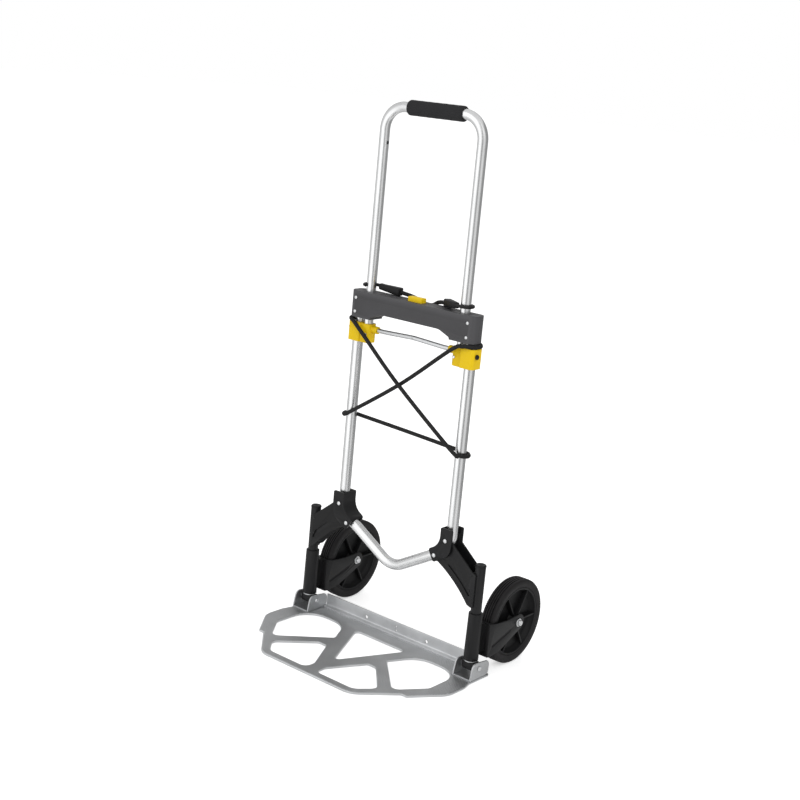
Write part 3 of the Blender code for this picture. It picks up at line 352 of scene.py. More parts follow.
@dataclass(frozen=True)
class Moulded(Finish):
    """Moulded plastic or coating: a fine grain, faint flow clouding, and a painted highlight that makes sharp
    convex edges paler.
    """

    colour: Colour = (0.012, 0.012, 0.013)
    rubbed: Colour = (0.06, 0.06, 0.063)
    roughness: float = 0.48
    grain: float = 1500.0
    depth: float = 0.00004
    shine: float = 0.20

    def make(self) -> bpy.types.Material:
        """Build the material.

        Returns:
            The material.
        """
        graph = Graph(self.name)
        grain = graph.noise(self.grain, 2.0)
        cloud = graph.noise(28.0, 4.0)
        # Painted highlight: sharp convex edges, found by pointiness, are lightened towards the paler colour
        # and stand in for light caught on rounded edges. The flow clouding also drifts towards that colour.
        painted_edge_highlight = Shade(graph, graph.node("NewGeometry", {}).outputs["Pointiness"]).step(0.505, 0.56)
        tint = graph.blend((painted_edge_highlight * 0.7 + cloud * 0.35).math("MINIMUM", 1.0), self.colour, self.rubbed)
        rough = self.roughness + grain * 0.10 - cloud * 0.05
        return graph.dress(base_color=tint, roughness=rough, specular_ior_level=self.shine,
                           normal=graph.relief(grain, self.depth))


@dataclass(frozen=True)
class Foam(Finish):
    """Closed-cell foam."""

    def make(self) -> bpy.types.Material:
        """Build the material.

        Returns:
            The material.
        """
        graph = Graph(self.name)
        cells = graph.cells(1400.0)
        cloud = graph.noise(40.0, 4.0)
        tint = graph.blend(cells.step(0.15, 0.60) * 0.6 + cloud * 0.4, (0.010, 0.010, 0.011),
                           (0.026, 0.026, 0.028))
        return graph.dress(base_color=tint, roughness=0.82 + cells * 0.12, specular_ior_level=0.25,
                           normal=graph.relief(cells, 0.00025, 0.8))


@dataclass(frozen=True)
class TyreRubber(Finish):
    """Solid tyre rubber, a little dusty where it has run."""

    def make(self) -> bpy.types.Material:
        """Build the material.

        Returns:
            The material.
        """
        graph = Graph(self.name)
        grain = graph.noise(1100.0, 3.0)
        dust = graph.noise(55.0, 5.0, roughness=0.65).step(0.48, 0.75)
        tint = graph.blend(dust * 0.55, (0.011, 0.010, 0.011), (0.026, 0.025, 0.025))
        return graph.dress(base_color=tint, specular_ior_level=0.25,
                           roughness=0.50 + dust * 0.22 + grain * 0.08,
                           normal=graph.relief(grain, 0.00006))


@dataclass(frozen=True)
class BraidedCord(Finish):
    """Woven sheath: two sets of threads that cross over the cord's own length and girth."""

    threads_round: float = 8.0
    threads_along: float = 420.0

    def make(self) -> bpy.types.Material:
        """Build the material.

        Returns:
            The material.
        """
        graph = Graph(self.name)
        parts = graph.node("SeparateXYZ", {0: graph.place(source="UV")})
        girth = Shade(graph, parts.outputs[0]) * self.threads_round
        length = Shade(graph, parts.outputs[1]) * self.threads_along
        one = (girth + length).math("PINGPONG", 0.5) * 2.0
        other = (girth - length).math("PINGPONG", 0.5) * 2.0
        weave = one.math("MAXIMUM", other)
        fleck = (one.step(0.80, 0.95)) * graph.noise(90.0, 1.0).step(0.55, 0.62)
        tint = graph.blend(weave.step(0.3, 1.0) * 0.8 + fleck * 0.2, (0.006, 0.006, 0.006),
                           (0.024, 0.024, 0.025))
        return graph.dress(base_color=tint, roughness=0.72, specular_ior_level=0.25,
                           normal=graph.relief(weave, 0.0003, 0.8))


class Finishes:
    """Every finish of the truck."""

    TUBE = DrawnAluminium("drawn_aluminium", "tube")
    PLATE = PlateAluminium("plate_aluminium", "plate")
    # The ribs' finish paints shade into the grooves between the ribs.
    RIBS = PlateAluminium("plate_ribs_aluminium", "plate", colour=(0.74, 0.75, 0.76),
                          grain=(1.0, 0.03, 1.0), pitch=0.00325)
    STEEL = ZincSteel("zinc_steel", "steel")
    BRIGHT = ZincSteel("bright_zinc", "steel", colour=(0.86, 0.87, 0.88), roughness=0.22)
    CLEVIS = ZincSteel("pressed_steel", "steel", colour=(0.62, 0.63, 0.64), roughness=0.36)
    # Each moulded finish's second colour is the paler tone of its painted edge highlight and its flow
    # clouding.
    COATED = Moulded("black_coating", "black_steel", colour=(0.005, 0.005, 0.0054),
                     rubbed=(0.018, 0.018, 0.019), roughness=0.36, grain=700.0, shine=0.24)
    BLACK = Moulded("black_nylon", "black_plastic", colour=(0.005, 0.005, 0.0054),
                    rubbed=(0.015, 0.015, 0.016), roughness=0.40, shine=0.22)
    RIM = Moulded("rim_nylon", "black_plastic", colour=(0.0055, 0.0055, 0.006),
                  rubbed=(0.014, 0.014, 0.015), roughness=0.46)
    GREY = Moulded("grey_nylon", "grey_plastic", colour=(0.046, 0.045, 0.048),
                   rubbed=(0.080, 0.079, 0.084), roughness=0.48, shine=0.35)
    YELLOW = Moulded("signal_yellow", "yellow_plastic", colour=(0.84, 0.54, 0.001),
                     rubbed=(0.90, 0.62, 0.004), roughness=0.36, grain=1800.0, depth=0.00002, shine=0.16)
    FOAM = Foam("grip_foam", "foam")
    TYRE = TyreRubber("tyre_rubber", "tyre")
    CORD = BraidedCord("braided_cord", "cord")


# ---------------------------------------------------------------- the workbench
def choose(*pieces: bpy.types.Object) -> bpy.types.Object:
    """Select these pieces alone and make the first active; return it.

    Args:
        pieces: what is selected.

    Returns:
        The first piece.
    """
    bpy.ops.object.select_all(action="DESELECT")
    for piece in pieces:
        piece.select_set(True)
    bpy.context.view_layer.objects.active = pieces[0]
    return pieces[0]


def settle(name: str) -> bpy.types.Object:
    """Name the new active object and put its place into its mesh.

    Args:
        name: the piece's name.

    Returns:
        The piece.
    """
    piece = bpy.context.view_layer.objects.active
    choose(piece)
    bpy.ops.object.transform_apply(location=True, rotation=True, scale=True)
    piece.name = name
    piece.data.name = name
    return piece


def edit(piece: bpy.types.Object, *steps: Callable[[], object], select: bool = True) -> bpy.types.Object:
    """Run edit-mode steps on a piece.

    Args:
        piece: what is edited.
        steps: operators to call, in order.
        select: whether everything is selected first.

    Returns:
        The piece.
    """
    choose(piece)
    bpy.ops.object.mode_set(mode="EDIT")
    if select:
        bpy.ops.mesh.select_all(action="SELECT")
    for step in steps:
        step()
    bpy.ops.object.mode_set(mode="OBJECT")
    return piece


def apply(piece: bpy.types.Object, kind: str, **settings: object) -> bpy.types.Object:
    """Add a modifier with these settings and apply it.

    Args:
        piece: what takes the modifier.
        kind: the modifier's type.
        settings: its settings by name.

    Returns:
        The piece.
    """
    choose(piece)
    modifier = piece.modifiers.new(kind.lower(), kind)
    for name, value in settings.items():
        setattr(modifier, name, value)
    bpy.ops.object.modifier_apply(modifier=modifier.name)
    return piece


def soften(piece: bpy.types.Object, width: float, segments: int = 2, angle: float = 40.0) -> bpy.types.Object:
    """Round the edges that are sharper than an angle."""
    return apply(piece, "BEVEL", width=width, segments=segments, limit_method="ANGLE",
                 angle_limit=math.radians(angle), use_clamp_overlap=True, harden_normals=False,
                 miter_outer="MITER_ARC")


def merge(piece: bpy.types.Object, other: bpy.types.Object, operation: str) -> bpy.types.Object:
    """Run a Boolean of a piece with another, which is used up.

    Args:
        piece: what is changed.
        other: the other shape.
        operation: UNION, DIFFERENCE or INTERSECT.

    Returns:
        The piece.
    """
    apply(piece, "BOOLEAN", operation=operation, solver="EXACT", object=other)
    bpy.data.objects.remove(other)
    return piece


def cut(piece: bpy.types.Object, *others: bpy.types.Object) -> bpy.types.Object:
    """Take other shapes away from a piece."""
    for other in others:
        merge(piece, other, "DIFFERENCE")
    return piece


def unite(piece: bpy.types.Object, *others: bpy.types.Object) -> bpy.types.Object:
    """Grow a piece together with other shapes."""
    for other in others:
        merge(piece, other, "UNION")
    return piece


def gather(piece: bpy.types.Object, *others: bpy.types.Object) -> bpy.types.Object:
    """Join the others' meshes to a piece as loose shells."""
    if others:
        choose(piece, *others)
        bpy.ops.object.join()
    return piece


def drum(name: str, start: Sequence[float], end: Sequence[float], radius: float, sides: int = 32,
         tip: float | None = None, roll: float = 0.0) -> bpy.types.Object:
    """A round bar or cone between two points.

    Args:
        name: the piece's name.
        start: centre of its first end.
        end: centre of its last end.
        radius: radius at the start.
        sides: how many sides it has.
        tip: radius at the end, if that differs.
        roll: how far it is turned about its own length.

    Returns:
        The new piece.
    """
    low, high = Vector(start), Vector(end)
    turn = ((high - low).to_track_quat("Z", "Y") @ Quaternion((0, 0, 1), math.radians(roll))).to_euler()
    bpy.ops.mesh.primitive_cone_add(vertices=sides, radius1=radius, radius2=radius if tip is None else tip,
                                    depth=(high - low).length, location=(low + high) / 2, rotation=turn)
    return settle(name)


def block(name: str, low: Sequence[float], high: Sequence[float]) -> bpy.types.Object:
    """A box between two opposite corners.

    Args:
        name: the piece's name.
        low: the lowest corner.
        high: the highest corner.

    Returns:
        The piece.
    """
    first, last = Vector(low), Vector(high)
    bpy.ops.mesh.primitive_cube_add(size=1.0, location=(first + last) / 2, scale=last - first)
    return settle(name)


def ring_of(name: str, points: Sequence[Sequence[float]]) -> bpy.types.Object:
    """A closed ring of edges: a circle whose corners are put in their places.

    Args:
        name: the piece's name.
        points: the corners in order.

    Returns:
        The ring.
    """
    bpy.ops.mesh.primitive_circle_add(vertices=len(points), radius=0.01, fill_type="NOTHING")
    ring = settle(name)
    ring.data.vertices.foreach_set("co", [value for point in points for value in point])
    return ring


def turned(name: str, profile: Sequence[tuple[float, float]], centre: Sequence[float], axis: Axis,
           steps: int = 64) -> bpy.types.Object:
    """A piece turned on a lathe.

    Args:
        name: the piece's name.
        profile: closed outline as (radius, place along the axis).
        centre: the axis's origin.
        axis: which way the axis lies.
        steps: how many steps make the round.

    Returns:
        The new piece.
    """
    ring = ring_of(name, [(radius, 0.0, height) for radius, height in profile])
    edit(ring, lambda: bpy.ops.mesh.spin(steps=steps, angle=math.tau, center=(0, 0, 0), axis=(0, 0, 1)),
         lambda: bpy.ops.mesh.select_all(action="SELECT"),
         lambda: bpy.ops.mesh.remove_doubles(threshold=0.000002),
         lambda: bpy.ops.mesh.dissolve_degenerate(threshold=0.000002),
         lambda: bpy.ops.mesh.normals_make_consistent(inside=False))
    ring.data.transform(Matrix.Translation(Vector(centre)) @ axis.value)
    return ring


def plate(name: str, outlines: Sequence[Sequence[tuple[float, float]]], plane: Plane, low: float, high: float,
          edge: float = 0.0, edge_steps: int = 2) -> bpy.types.Object:
    """A flat piece with rounded edges, cut from sheet.

    Args:
        name: the piece's name.
        outlines: the outer outline, then its holes.
        plane: the plane that it lies in.
        low: where its thickness starts.
        high: where its thickness ends.
        edge: radius of its rounded edges.
        edge_steps: how finely they are rounded.

    Returns:
        The new piece.
    """
    curve = bpy.data.curves.new(name, "CURVE")
    curve.dimensions = "2D"
    curve.fill_mode = "BOTH"
    curve.extrude = (high - low) / 2 - edge
    curve.bevel_depth = edge
    curve.bevel_resolution = edge_steps
    curve.offset = -edge
    for outline in outlines:
        spline = curve.splines.new("POLY")
        spline.points.add(len(outline) - 1)
        for corner, (across, along) in zip(spline.points, outline):
            corner.co = (across, along, 0.0, 1.0)
        spline.use_cyclic_u = True
    holder = bpy.data.objects.new(name, curve)
    bpy.context.scene.collection.objects.link(holder)
    choose(holder)
    bpy.ops.object.convert(target="MESH")
    piece = settle(name)
    place = Matrix.Translation(plane.normal * (low + high) / 2) @ Matrix(plane.value)
    piece.data.transform(place)
    return edit(piece, lambda: bpy.ops.mesh.remove_doubles(threshold=0.000002),
                lambda: bpy.ops.mesh.normals_make_consistent(inside=False))


def wire(name: str, points: Sequence[Sequence[float]], radius: float, sides: int = 12,
         closed: bool = False) -> bpy.types.Object:
    """A round wire along a path, with a UV map of girth and length in metres.

    Args:
        name: the piece's name.
        points: the path.
        radius: the wire's radius.
        sides: how many sides it has.
        closed: whether it runs back into its start.

    Returns:
        The new piece.
    """
    curve = bpy.data.curves.new(name, "CURVE")
    curve.dimensions = "3D"
    curve.bevel_depth = radius
    curve.bevel_resolution = max(0, sides // 2 - 2)
    curve.use_fill_caps = not closed
    spline = curve.splines.new("POLY")
    spline.points.add(len(points) - 1)
    for corner, point in zip(spline.points, points):
        corner.co = (*point, 1.0)
    spline.use_cyclic_u = closed
    holder = bpy.data.objects.new(name, curve)
    bpy.context.scene.collection.objects.link(holder)
    choose(holder)
    bpy.ops.object.convert(target="MESH")
    piece = settle(name)
    total = sum((Vector(b) - Vector(a)).length for a, b in zip(points, points[1:]))
    if piece.data.uv_layers:
        layer = piece.data.uv_layers[0].data
        for corner in layer:
            corner.uv = (corner.uv[1], corner.uv[0] * total)
    return edit(piece, lambda: bpy.ops.mesh.remove_doubles(threshold=0.000002))


class Pipe:
    """A round tube made as a bender makes it: straight runs drawn out and corners spun."""

    def __init__(self, name: str, start: Sequence[float], heading: Sequence[float], radius: float,
                 sides: int = 40) -> None:
        """Stand a section at the start, facing the heading.

        Args:
            name: the piece's name.
            start: middle of the first section.
            heading: the way the tube sets off.
            radius: outer radius.
            sides: faces round the tube.
        """
        self.here = Vector(start)
        self.heading = Vector(heading).normalized()
        turn = self.heading.to_track_quat("Z", "Y").to_euler()
        bpy.ops.mesh.primitive_circle_add(vertices=sides, radius=radius, location=self.here, rotation=turn,
                                          fill_type="NOTHING")
        self.piece = settle(name)
        choose(self.piece)
        bpy.ops.object.mode_set(mode="EDIT")
        bpy.ops.mesh.select_all(action="SELECT")

    def straight(self, length: float) -> "Pipe":
        """Draw the tube straight on.

        Args:
            length: how far it runs.

        Returns:
            This pipe.
        """
        run = self.heading * length
        bpy.ops.mesh.extrude_region_move(TRANSFORM_OT_translate={"value": run})
        self.here = self.here + run
        return self

    def bend(self, radius: float, angle: float, hand: int = 1, steps: int = 14) -> "Pipe":
        """Bend the tube in the XZ plane; hand 1 turns it left as seen from the front, -1 right.

        Args:
            radius: radius of the centre line.
            angle: how far it turns.
            hand: 1 for left, -1 for right.
            steps: sections along the bend.

        Returns:
            This pipe.
        """
        inwards = Vector((0, -1, 0)).cross(self.heading) * hand
        centre = self.here + inwards * radius
        bpy.ops.mesh.spin(steps=steps, angle=math.radians(angle), center=centre,
                          axis=inwards.cross(self.heading))
        swing = Matrix.Rotation(math.radians(angle), 3, self.heading.cross(inwards))
        self.here = centre + swing @ (self.here - centre)
        self.heading = swing @ self.heading
        return self

    def close(self, wall: float) -> bpy.types.Object:
        """Finish the tube with a wall that thickens inwards; return the piece.

        Args:
            wall: the wall's thickness.

        Returns:
            The piece.
        """
        bpy.ops.mesh.select_all(action="SELECT")
        bpy.ops.mesh.remove_doubles(threshold=0.000002)
        bpy.ops.mesh.normals_make_consistent(inside=False)
        bpy.ops.object.mode_set(mode="OBJECT")
        return apply(self.piece, "SOLIDIFY", thickness=wall, offset=-1.0, use_even_offset=True)


def arc(centre: tuple[float, float], radius: float, start: float, end: float, steps: int) -> list[tuple]:
    """Points on a circle in a plane, from one angle to another."""
    turns = [math.radians(start + (end - start) * step / steps) for step in range(steps + 1)]
    return [(centre[0] + radius * math.cos(turn), centre[1] + radius * math.sin(turn)) for turn in turns]


def rounded(corners: Sequence[tuple[float, float, float]], steps: int = 8) -> list[tuple]:
    """A closed outline whose corners (u, v, radius) are rounded; a radius of 0 stays sharp.

    Args:
        corners: each corner as (u, v, radius).
        steps: points round each corner.

    Returns:
        The points of the outline.
    """
    points: list[tuple] = []
    for index, (u, v, radius) in enumerate(corners):
        here = Vector((u, v))
        back = (Vector(corners[index - 1][:2]) - here).normalized()
        ahead = (Vector(corners[(index + 1) % len(corners)][:2]) - here).normalized()
        if radius == 0:
            points.append((u, v))
            continue
        half = back.angle(ahead) / 2
        centre = here + (back + ahead).normalized() * radius / math.sin(half)
        first = here + back * radius / math.tan(half) - centre
        last = here + ahead * radius / math.tan(half) - centre
        sweep = math.pi - 2 * half
        for step in range(steps + 1):
            share = step / steps
            spoke = first * math.sin((1 - share) * sweep) + last * math.sin(share * sweep)
            points.append(tuple(centre + spoke / math.sin(sweep)))
    return points


def deliver(piece: bpy.types.Object, finish: Finish, body: str, *nodes: str,
            angle: float = 35.0) -> bpy.types.Object:
    """Shade a finished piece, dress it and hand it to its body.

    Args:
        piece: the finished mesh.
        finish: its finish.
        body: the CAD body that it rides on.
        nodes: the CAD nodes that it stands for.
        angle: edges sharper than this stay sharp.

    Returns:
        The piece.
    """
    choose(piece)
    bpy.ops.object.shade_smooth_by_angle(angle=math.radians(angle))
    piece.data.materials.clear()
    piece.data.materials.append(finish.material())
    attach(piece, body)
    if nodes:
        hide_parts(*nodes)
    LOG.info("%s on %s: %d faces", piece.name, body, len(piece.data.polygons))
    return piece


def from_node(node: str, name: str) -> bpy.types.Object:
    """A merged copy of a CAD node's mesh, to be worked on.

    Args:
        node: the CAD node.
        name: the copy's name.

    Returns:
        The copy.
    """
    piece = bpy.data.objects.new(name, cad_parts[node].data.copy())
    piece.data.name = name
    bpy.context.scene.collection.objects.link(piece)
    edit(piece, lambda: bpy.ops.mesh.remove_doubles(threshold=0.000005),
         lambda: bpy.ops.mesh.dissolve_limited(angle_limit=math.radians(0.5)))
    return piece


# ---------------------------------------------------------------- studio
@dataclass
class Studio:
    """Camera, floor and soft light."""

    azimuth: float = 38.49
    elevation: float = 13.67
    roll: float = 5.33
    distance: float = 2.69965
    lens: float = 62.52
    target: Point = (0.0, -0.02373, 0.51191)
    floor_size: float = 60.0
    ring: float = 0.78
    card_base: float = 0.31
    cards: tuple[tuple[float, float, float, float], ...] = (
        (-100.0, 14.0, 46.0, 0.95), (-14.0, 5.0, 30.0, 0.48), (-165.0, 10.0, 50.0, 0.30),
        (128.0, 14.0, 45.0, 0.22))

    def build(self) -> None:
        """Set up the whole studio."""
        self.make_camera()
        self.make_floor()
        self.make_lights()

    def make_camera(self) -> None:
        """Aim the camera at the truck, a little above and to its right."""
        turn, rise, tilt = (math.radians(angle) for angle in (self.azimuth, self.elevation, self.roll))
        back = Vector((math.sin(turn) * math.cos(rise), -math.cos(turn) * math.cos(rise), math.sin(rise)))
        level = Vector((math.cos(turn), math.sin(turn), 0.0))
        upright = back.cross(level)
        right = level * math.cos(tilt) + upright * math.sin(tilt)
        up = upright * math.cos(tilt) - level * math.sin(tilt)
        camera = bpy.data.objects.new("camera", bpy.data.cameras.new("camera"))
        bpy.context.scene.collection.objects.link(camera)
        camera.data.sensor_width = 36.0
        camera.data.lens = self.lens
        camera.data.clip_end = 200.0
        place = Matrix((right, up, back)).transposed().to_4x4()
        place.translation = Vector(self.target) + back * self.distance
        camera.matrix_world = place
        bpy.context.scene.camera = camera

    def make_floor(self) -> None:
        """Lay the plain pale floor, which glows faintly like a light table."""
        bpy.ops.mesh.primitive_plane_add(size=self.floor_size, location=(0, 0, -0.0004))
        floor = settle("floor")
        graph = Graph("floor_paint")
        tint = graph.blend(graph.noise(0.6, 2.0), (0.90, 0.90, 0.90), (0.92, 0.92, 0.92))
        seen = graph.node("LightPath", {}).outputs["Is Camera Ray"]
        glow = graph.blend(seen, (0.05, 0.05, 0.05), (1.0, 1.0, 1.0))
        floor.data.materials.append(graph.dress(base_color=tint, roughness=0.9, emission_strength=0.50,
                                                emission_color=glow))

    def make_lights(self) -> None:
        """Hang the soft boxes, set the pale surround and stand the ring of cards round the truck."""
        scene = bpy.context.scene
        scene.view_settings.view_transform = "Standard"
        graph = Graph("surround", world=True)
        seen = graph.node("LightPath", {}).outputs["Is Camera Ray"]
        graph.dress(color=graph.blend(seen, (0.72, 0.72, 0.72), (1.0, 1.0, 1.0)))
        scene.world = graph.material
        self.soft_box("key", (2.6, -2.2, 3.0), 2.2, 34.0)
        self.soft_box("fill", (-3.0, -2.4, 2.2), 2.4, 16.0)
        self.soft_box("rim", (-1.2, 3.2, 2.6), 2.0, 12.0)
        self.make_cards()

    def make_cards(self) -> None:
        """Stand pale and dark cards in a ring, which only polished surfaces see."""
        bpy.ops.mesh.primitive_cylinder_add(vertices=96, radius=self.ring, depth=1.8, end_fill_type="NOTHING",
                                            location=(0, 0, 0.9))
        ring = settle("reflection_cards")
        graph = Graph("card_glow")
        parts = graph.node("SeparateXYZ", {0: graph.place()})
        across, along = Shade(graph, parts.outputs[0]), Shade(graph, parts.outputs[1])
        glow = across * 0.0 + self.card_base
        for turn, inner, outer, level in self.cards:
            way = math.radians(turn)
            facing = (across * math.cos(way) + along * math.sin(way)) * (1 / self.ring)
            lit = facing.step(math.cos(math.radians(outer)), math.cos(math.radians(inner)))
            glow = glow + lit * level
        shade = graph.node("CombineColor", {0: glow, 1: glow, 2: glow})
        ring.data.materials.append(graph.dress(base_color=(0, 0, 0, 1), emission_color=shade.outputs[0],
                                               emission_strength=1.0, roughness=1.0,
                                               specular_ior_level=0.0))
        for rays in ("camera", "diffuse", "shadow", "transmission", "volume_scatter"):
            setattr(ring, "visible_" + rays, False)

    def soft_box(self, name: str, place: Point, size: float, power: float) -> None:
        """Hang one soft box that faces the truck.

        Args:
            name: the light's name.
            place: where it hangs.
            size: its width.
            power: its power in watts.
        """
        lamp = bpy.data.lights.new(name, "AREA")
        lamp.size = size
        lamp.energy = power
        light = bpy.data.objects.new(name, lamp)
        bpy.context.scene.collection.objects.link(light)
        light.location = place
        light.rotation_euler = (Vector(self.target) - Vector(place)).to_track_quat("-Z", "Y").to_euler()


# ---------------------------------------------------------------- frame
def refine(node: str, name: str, finish: Finish, body: str, edge: float = 0.0005,
           angle: float = 50.0) -> bpy.types.Object:
    """Round the edges of a copy of a CAD node and hand it over.

    Args:
        node: the CAD node.
        name: the new piece's name.
        finish: its finish.
        body: its CAD body.
        edge: radius of its rounded edges; 0 leaves them sharp.
        angle: edges sharper than this are rounded.

    Returns:
        The piece.
    """
    piece = from_node(node, name)
    if edge > 0:
        soften(piece, edge, 2, angle)
    return deliver(piece, finish, body, node)


def helix(radius: float, low: float, high: float, turns: float, steps: int = 20) -> list[Vector]:
    """Points of an even coil round Z, from one height to another."""
    total = int(turns * steps)
    return [Vector((radius * math.cos(math.tau * step / steps), radius * math.sin(math.tau * step / steps),
                    low + (high - low) * step / total)) for step in range(total + 1)]


@dataclass
class TubeFrame:
    """The fixed U frame with its vee, and what is riveted to it."""

    leg_x: float = 0.1405
    radius: float = 0.0110
    wall: float = 0.0013
    apex_z: float = 0.1605
    slope: float = 30.0
    vee_bend: float = 0.0500
    knee_bend: float = 0.0450
    post_x: float = 0.2155
    body: str = "frame"

    def build(self) -> None:
        """Build the frame's tube and its fittings."""
        self.make_tube()
        for side in Side:
            self.make_bracket(side)
            self.make_post(side)
            self.make_return_ring(side)
        self.make_rivets()

    def make_tube(self) -> None:
        """Bend the tube from one top end down round the vee and up again."""
        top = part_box("frame_tube")[1].z
        slope = math.radians(self.slope)
        knee_z = self.apex_z + self.leg_x * math.tan(slope)
        knee_cut = self.knee_bend * math.tan(math.radians(90 - self.slope) / 2)
        vee_cut = self.vee_bend * math.tan(slope)
        slant = self.leg_x / math.cos(slope) - knee_cut - vee_cut
        pipe = Pipe("frame_tube_bent", (-self.leg_x, 0, top), (0, 0, -1), self.radius)
        pipe.straight(top - knee_z - knee_cut)
        pipe.bend(self.knee_bend, 90 - self.slope)
        pipe.straight(slant)
        pipe.bend(self.vee_bend, 2 * self.slope)
        pipe.straight(slant)
        pipe.bend(self.knee_bend, 90 - self.slope)
        pipe.straight(top - knee_z - knee_cut)
        deliver(pipe.close(self.wall), Finishes.TUBE, self.body, "frame_tube", angle=50)

    def make_bracket(self, side: Side) -> None:
        """Round the moulded knee cover and the arm that runs to the post.

        Args:
            side: which side of the truck.
        """
        refine("tube_bracket_" + side.word, "knee_cover_" + side.word, Finishes.BLACK, self.body, 0.0007)
        arm = refine("arm_" + side.word, "knee_arm_" + side.word, Finishes.COATED, self.body, 0.0004)
        sheet = [(0.128, 0.226), (0.150, 0.2075), (0.172, 0.191), (0.190, 0.172), (0.203, 0.152),
                 (0.2145, 0.158), (0.201, 0.192), (0.178, 0.213), (0.150, 0.235), (0.136, 0.237)]
        corners = [(side.value * u, v) for u, v in sheet][::side.value]
        for face in (-1, 1):
            depth = sorted((face * 0.0124, face * 0.0116))
            name = f"arm_lining_{side.word}_{'rear' if face > 0 else 'front'}"
            deliver(plate(name, [corners], Plane.XZ, *depth), Finishes.COATED, self.body)
        for inset, height in ((0.0095, 0.210), (0.0118, 0.179)):
            x = side.value * (self.post_x - inset)
            for face in (-1, 1):
                head = rivet_head(f"{arm.name}_rivet_{height:.3f}_{'rear' if face > 0 else 'front'}", 0.0024,
                                  (x, face * 0.0150, height), face)
                deliver(head, Finishes.COATED, self.body)

    def make_post(self, side: Side) -> None:
        """Turn the post and its cap, and round the knuckle at its foot.

        Args:
            side: which side of the truck.
        """
        low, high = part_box("post_" + side.word)
        x = (low.x + high.x) / 2
        radius = (high.x - low.x) / 2
        post = drum("upright_" + side.word, (x, 0, low.z), (x, 0, high.z), radius, 48)
        deliver(soften(post, 0.0006), Finishes.COATED, self.body, "post_" + side.word)
        base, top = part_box("post_cap_" + side.word)
        rim = (top.x - base.x) / 2
        rise = top.z - base.z
        dome = [(rim - rise * 0.6 + u, base.z + v * rise) for u, v in
                ((rise * 0.6 * math.cos(a), math.sin(a)) for a in (math.radians(15 * s) for s in range(7)))]
        cap = turned("upright_cap_" + side.word, [(0.0, base.z), *dome], (x, 0, 0), Axis.Z, 48)
        deliver(cap, Finishes.BLACK, self.body, "post_cap_" + side.word)
        refine("knuckle_" + side.word, "foot_knuckle_" + side.word, Finishes.COATED, self.body, 0.0006)

    def make_return_ring(self, side: Side) -> None:
        """Bend the wire ring round the foot of the sleeve.

        Args:
            side: which side of the truck.
        """
        low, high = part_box("sleeve_wire_" + side.word)
        thick = (high.z - low.z) / 2
        reach = (high.x - low.x) / 2 - thick
        middle = (low + high) / 2
        loop = [(middle.x + u, v, middle.z) for u, v in arc((0, 0), reach, 0, 352.5, 47)]
        deliver(wire("return_ring_" + side.word, loop, thick, 10, True), Finishes.STEEL, self.body,
                "sleeve_wire_" + side.word)

    def make_rivets(self) -> None:
        """Turn every through rivet with its dimpled heads."""
        for kind in ("crossbar", "bracket"):
            for side in Side:
                for level in ("upper", "lower"):
                    node = f"{kind}_rivet_{side.word}_{level}"
                    low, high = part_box(node)
                    head = (high.x - low.x) / 2 * (1.25 if kind == "bracket" else 1.0)
                    half = (high.y - low.y) / 2
                    side_on = [(0.0, half - 0.0007), (head * 0.28, half - 0.0006), (head * 0.40, half),
                               (head * 0.70, half - 0.0003), (head * 0.93, half - 0.0009),
                               (head, half - 0.0014), (0.0018, half - 0.0015)]
                    profile = side_on + [(r, -h) for r, h in reversed(side_on)]
                    deliver(turned(node + "_turned", profile, (low + high) / 2, Axis.Y, 28), Finishes.BRIGHT,
                            self.body, node)


def rivet_head(name: str, radius: float, place: Sequence[float], face: int) -> bpy.types.Object:
    """A low domed head on a face that looks along +Y or -Y.

    Args:
        name: the piece's name.
        radius: the head's radius.
        place: middle of its flat side.
        face: 1 to look along +Y, -1 along -Y.

    Returns:
        The head.
    """
    profile = [(0.0, 0.0), (radius, 0.0), (radius * 0.94, radius * 0.28), (radius * 0.62, radius * 0.50),
               (0.0, radius * 0.58)]
    head = turned(name, profile, (0, 0, 0), Axis.Y, 20)
    if face < 0:
        head.data.transform(Matrix.Rotation(math.pi, 4, "Z"))
    head.data.transform(Matrix.Translation(Vector(place)))
    return head


# ---------------------------------------------------------------- crossbar and lock
@dataclass
class Crossbar:
    """The two half shells that join the frame legs and guide the handle, with the lock inside."""

    edge: float = 0.0013
    travel: float = 0.0060
    body: str = "frame"

    def build(self) -> None:
        """Build the shells, the button, its spring and the two lock pins."""
        for face in ("front", "rear"):
            refine("crossbar_" + face, "crossbar_shell_" + face, Finishes.GREY, self.body, self.edge, 55.0)
        refine("release_button", "release_key", Finishes.YELLOW, "button", 0.0007, 55.0)
        low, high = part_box("button_spring")
        thick = 0.0005
        middle = (low + high) / 2
        coil = wire("key_spring", [middle + Vector((p.x, p.y, p.z - middle.z)) for p in
                                   helix((high.x - low.x) / 2 - thick, low.z + thick, high.z - thick, 5)],
                    thick, 8)
        deliver(coil, Finishes.STEEL, self.body, "button_spring")
        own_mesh(coil)
        for side in Side:
            refine("lock_pin_" + side.word, "locking_pin_" + side.word, Finishes.STEEL, "pin_" + side.word,
                   0.0004)


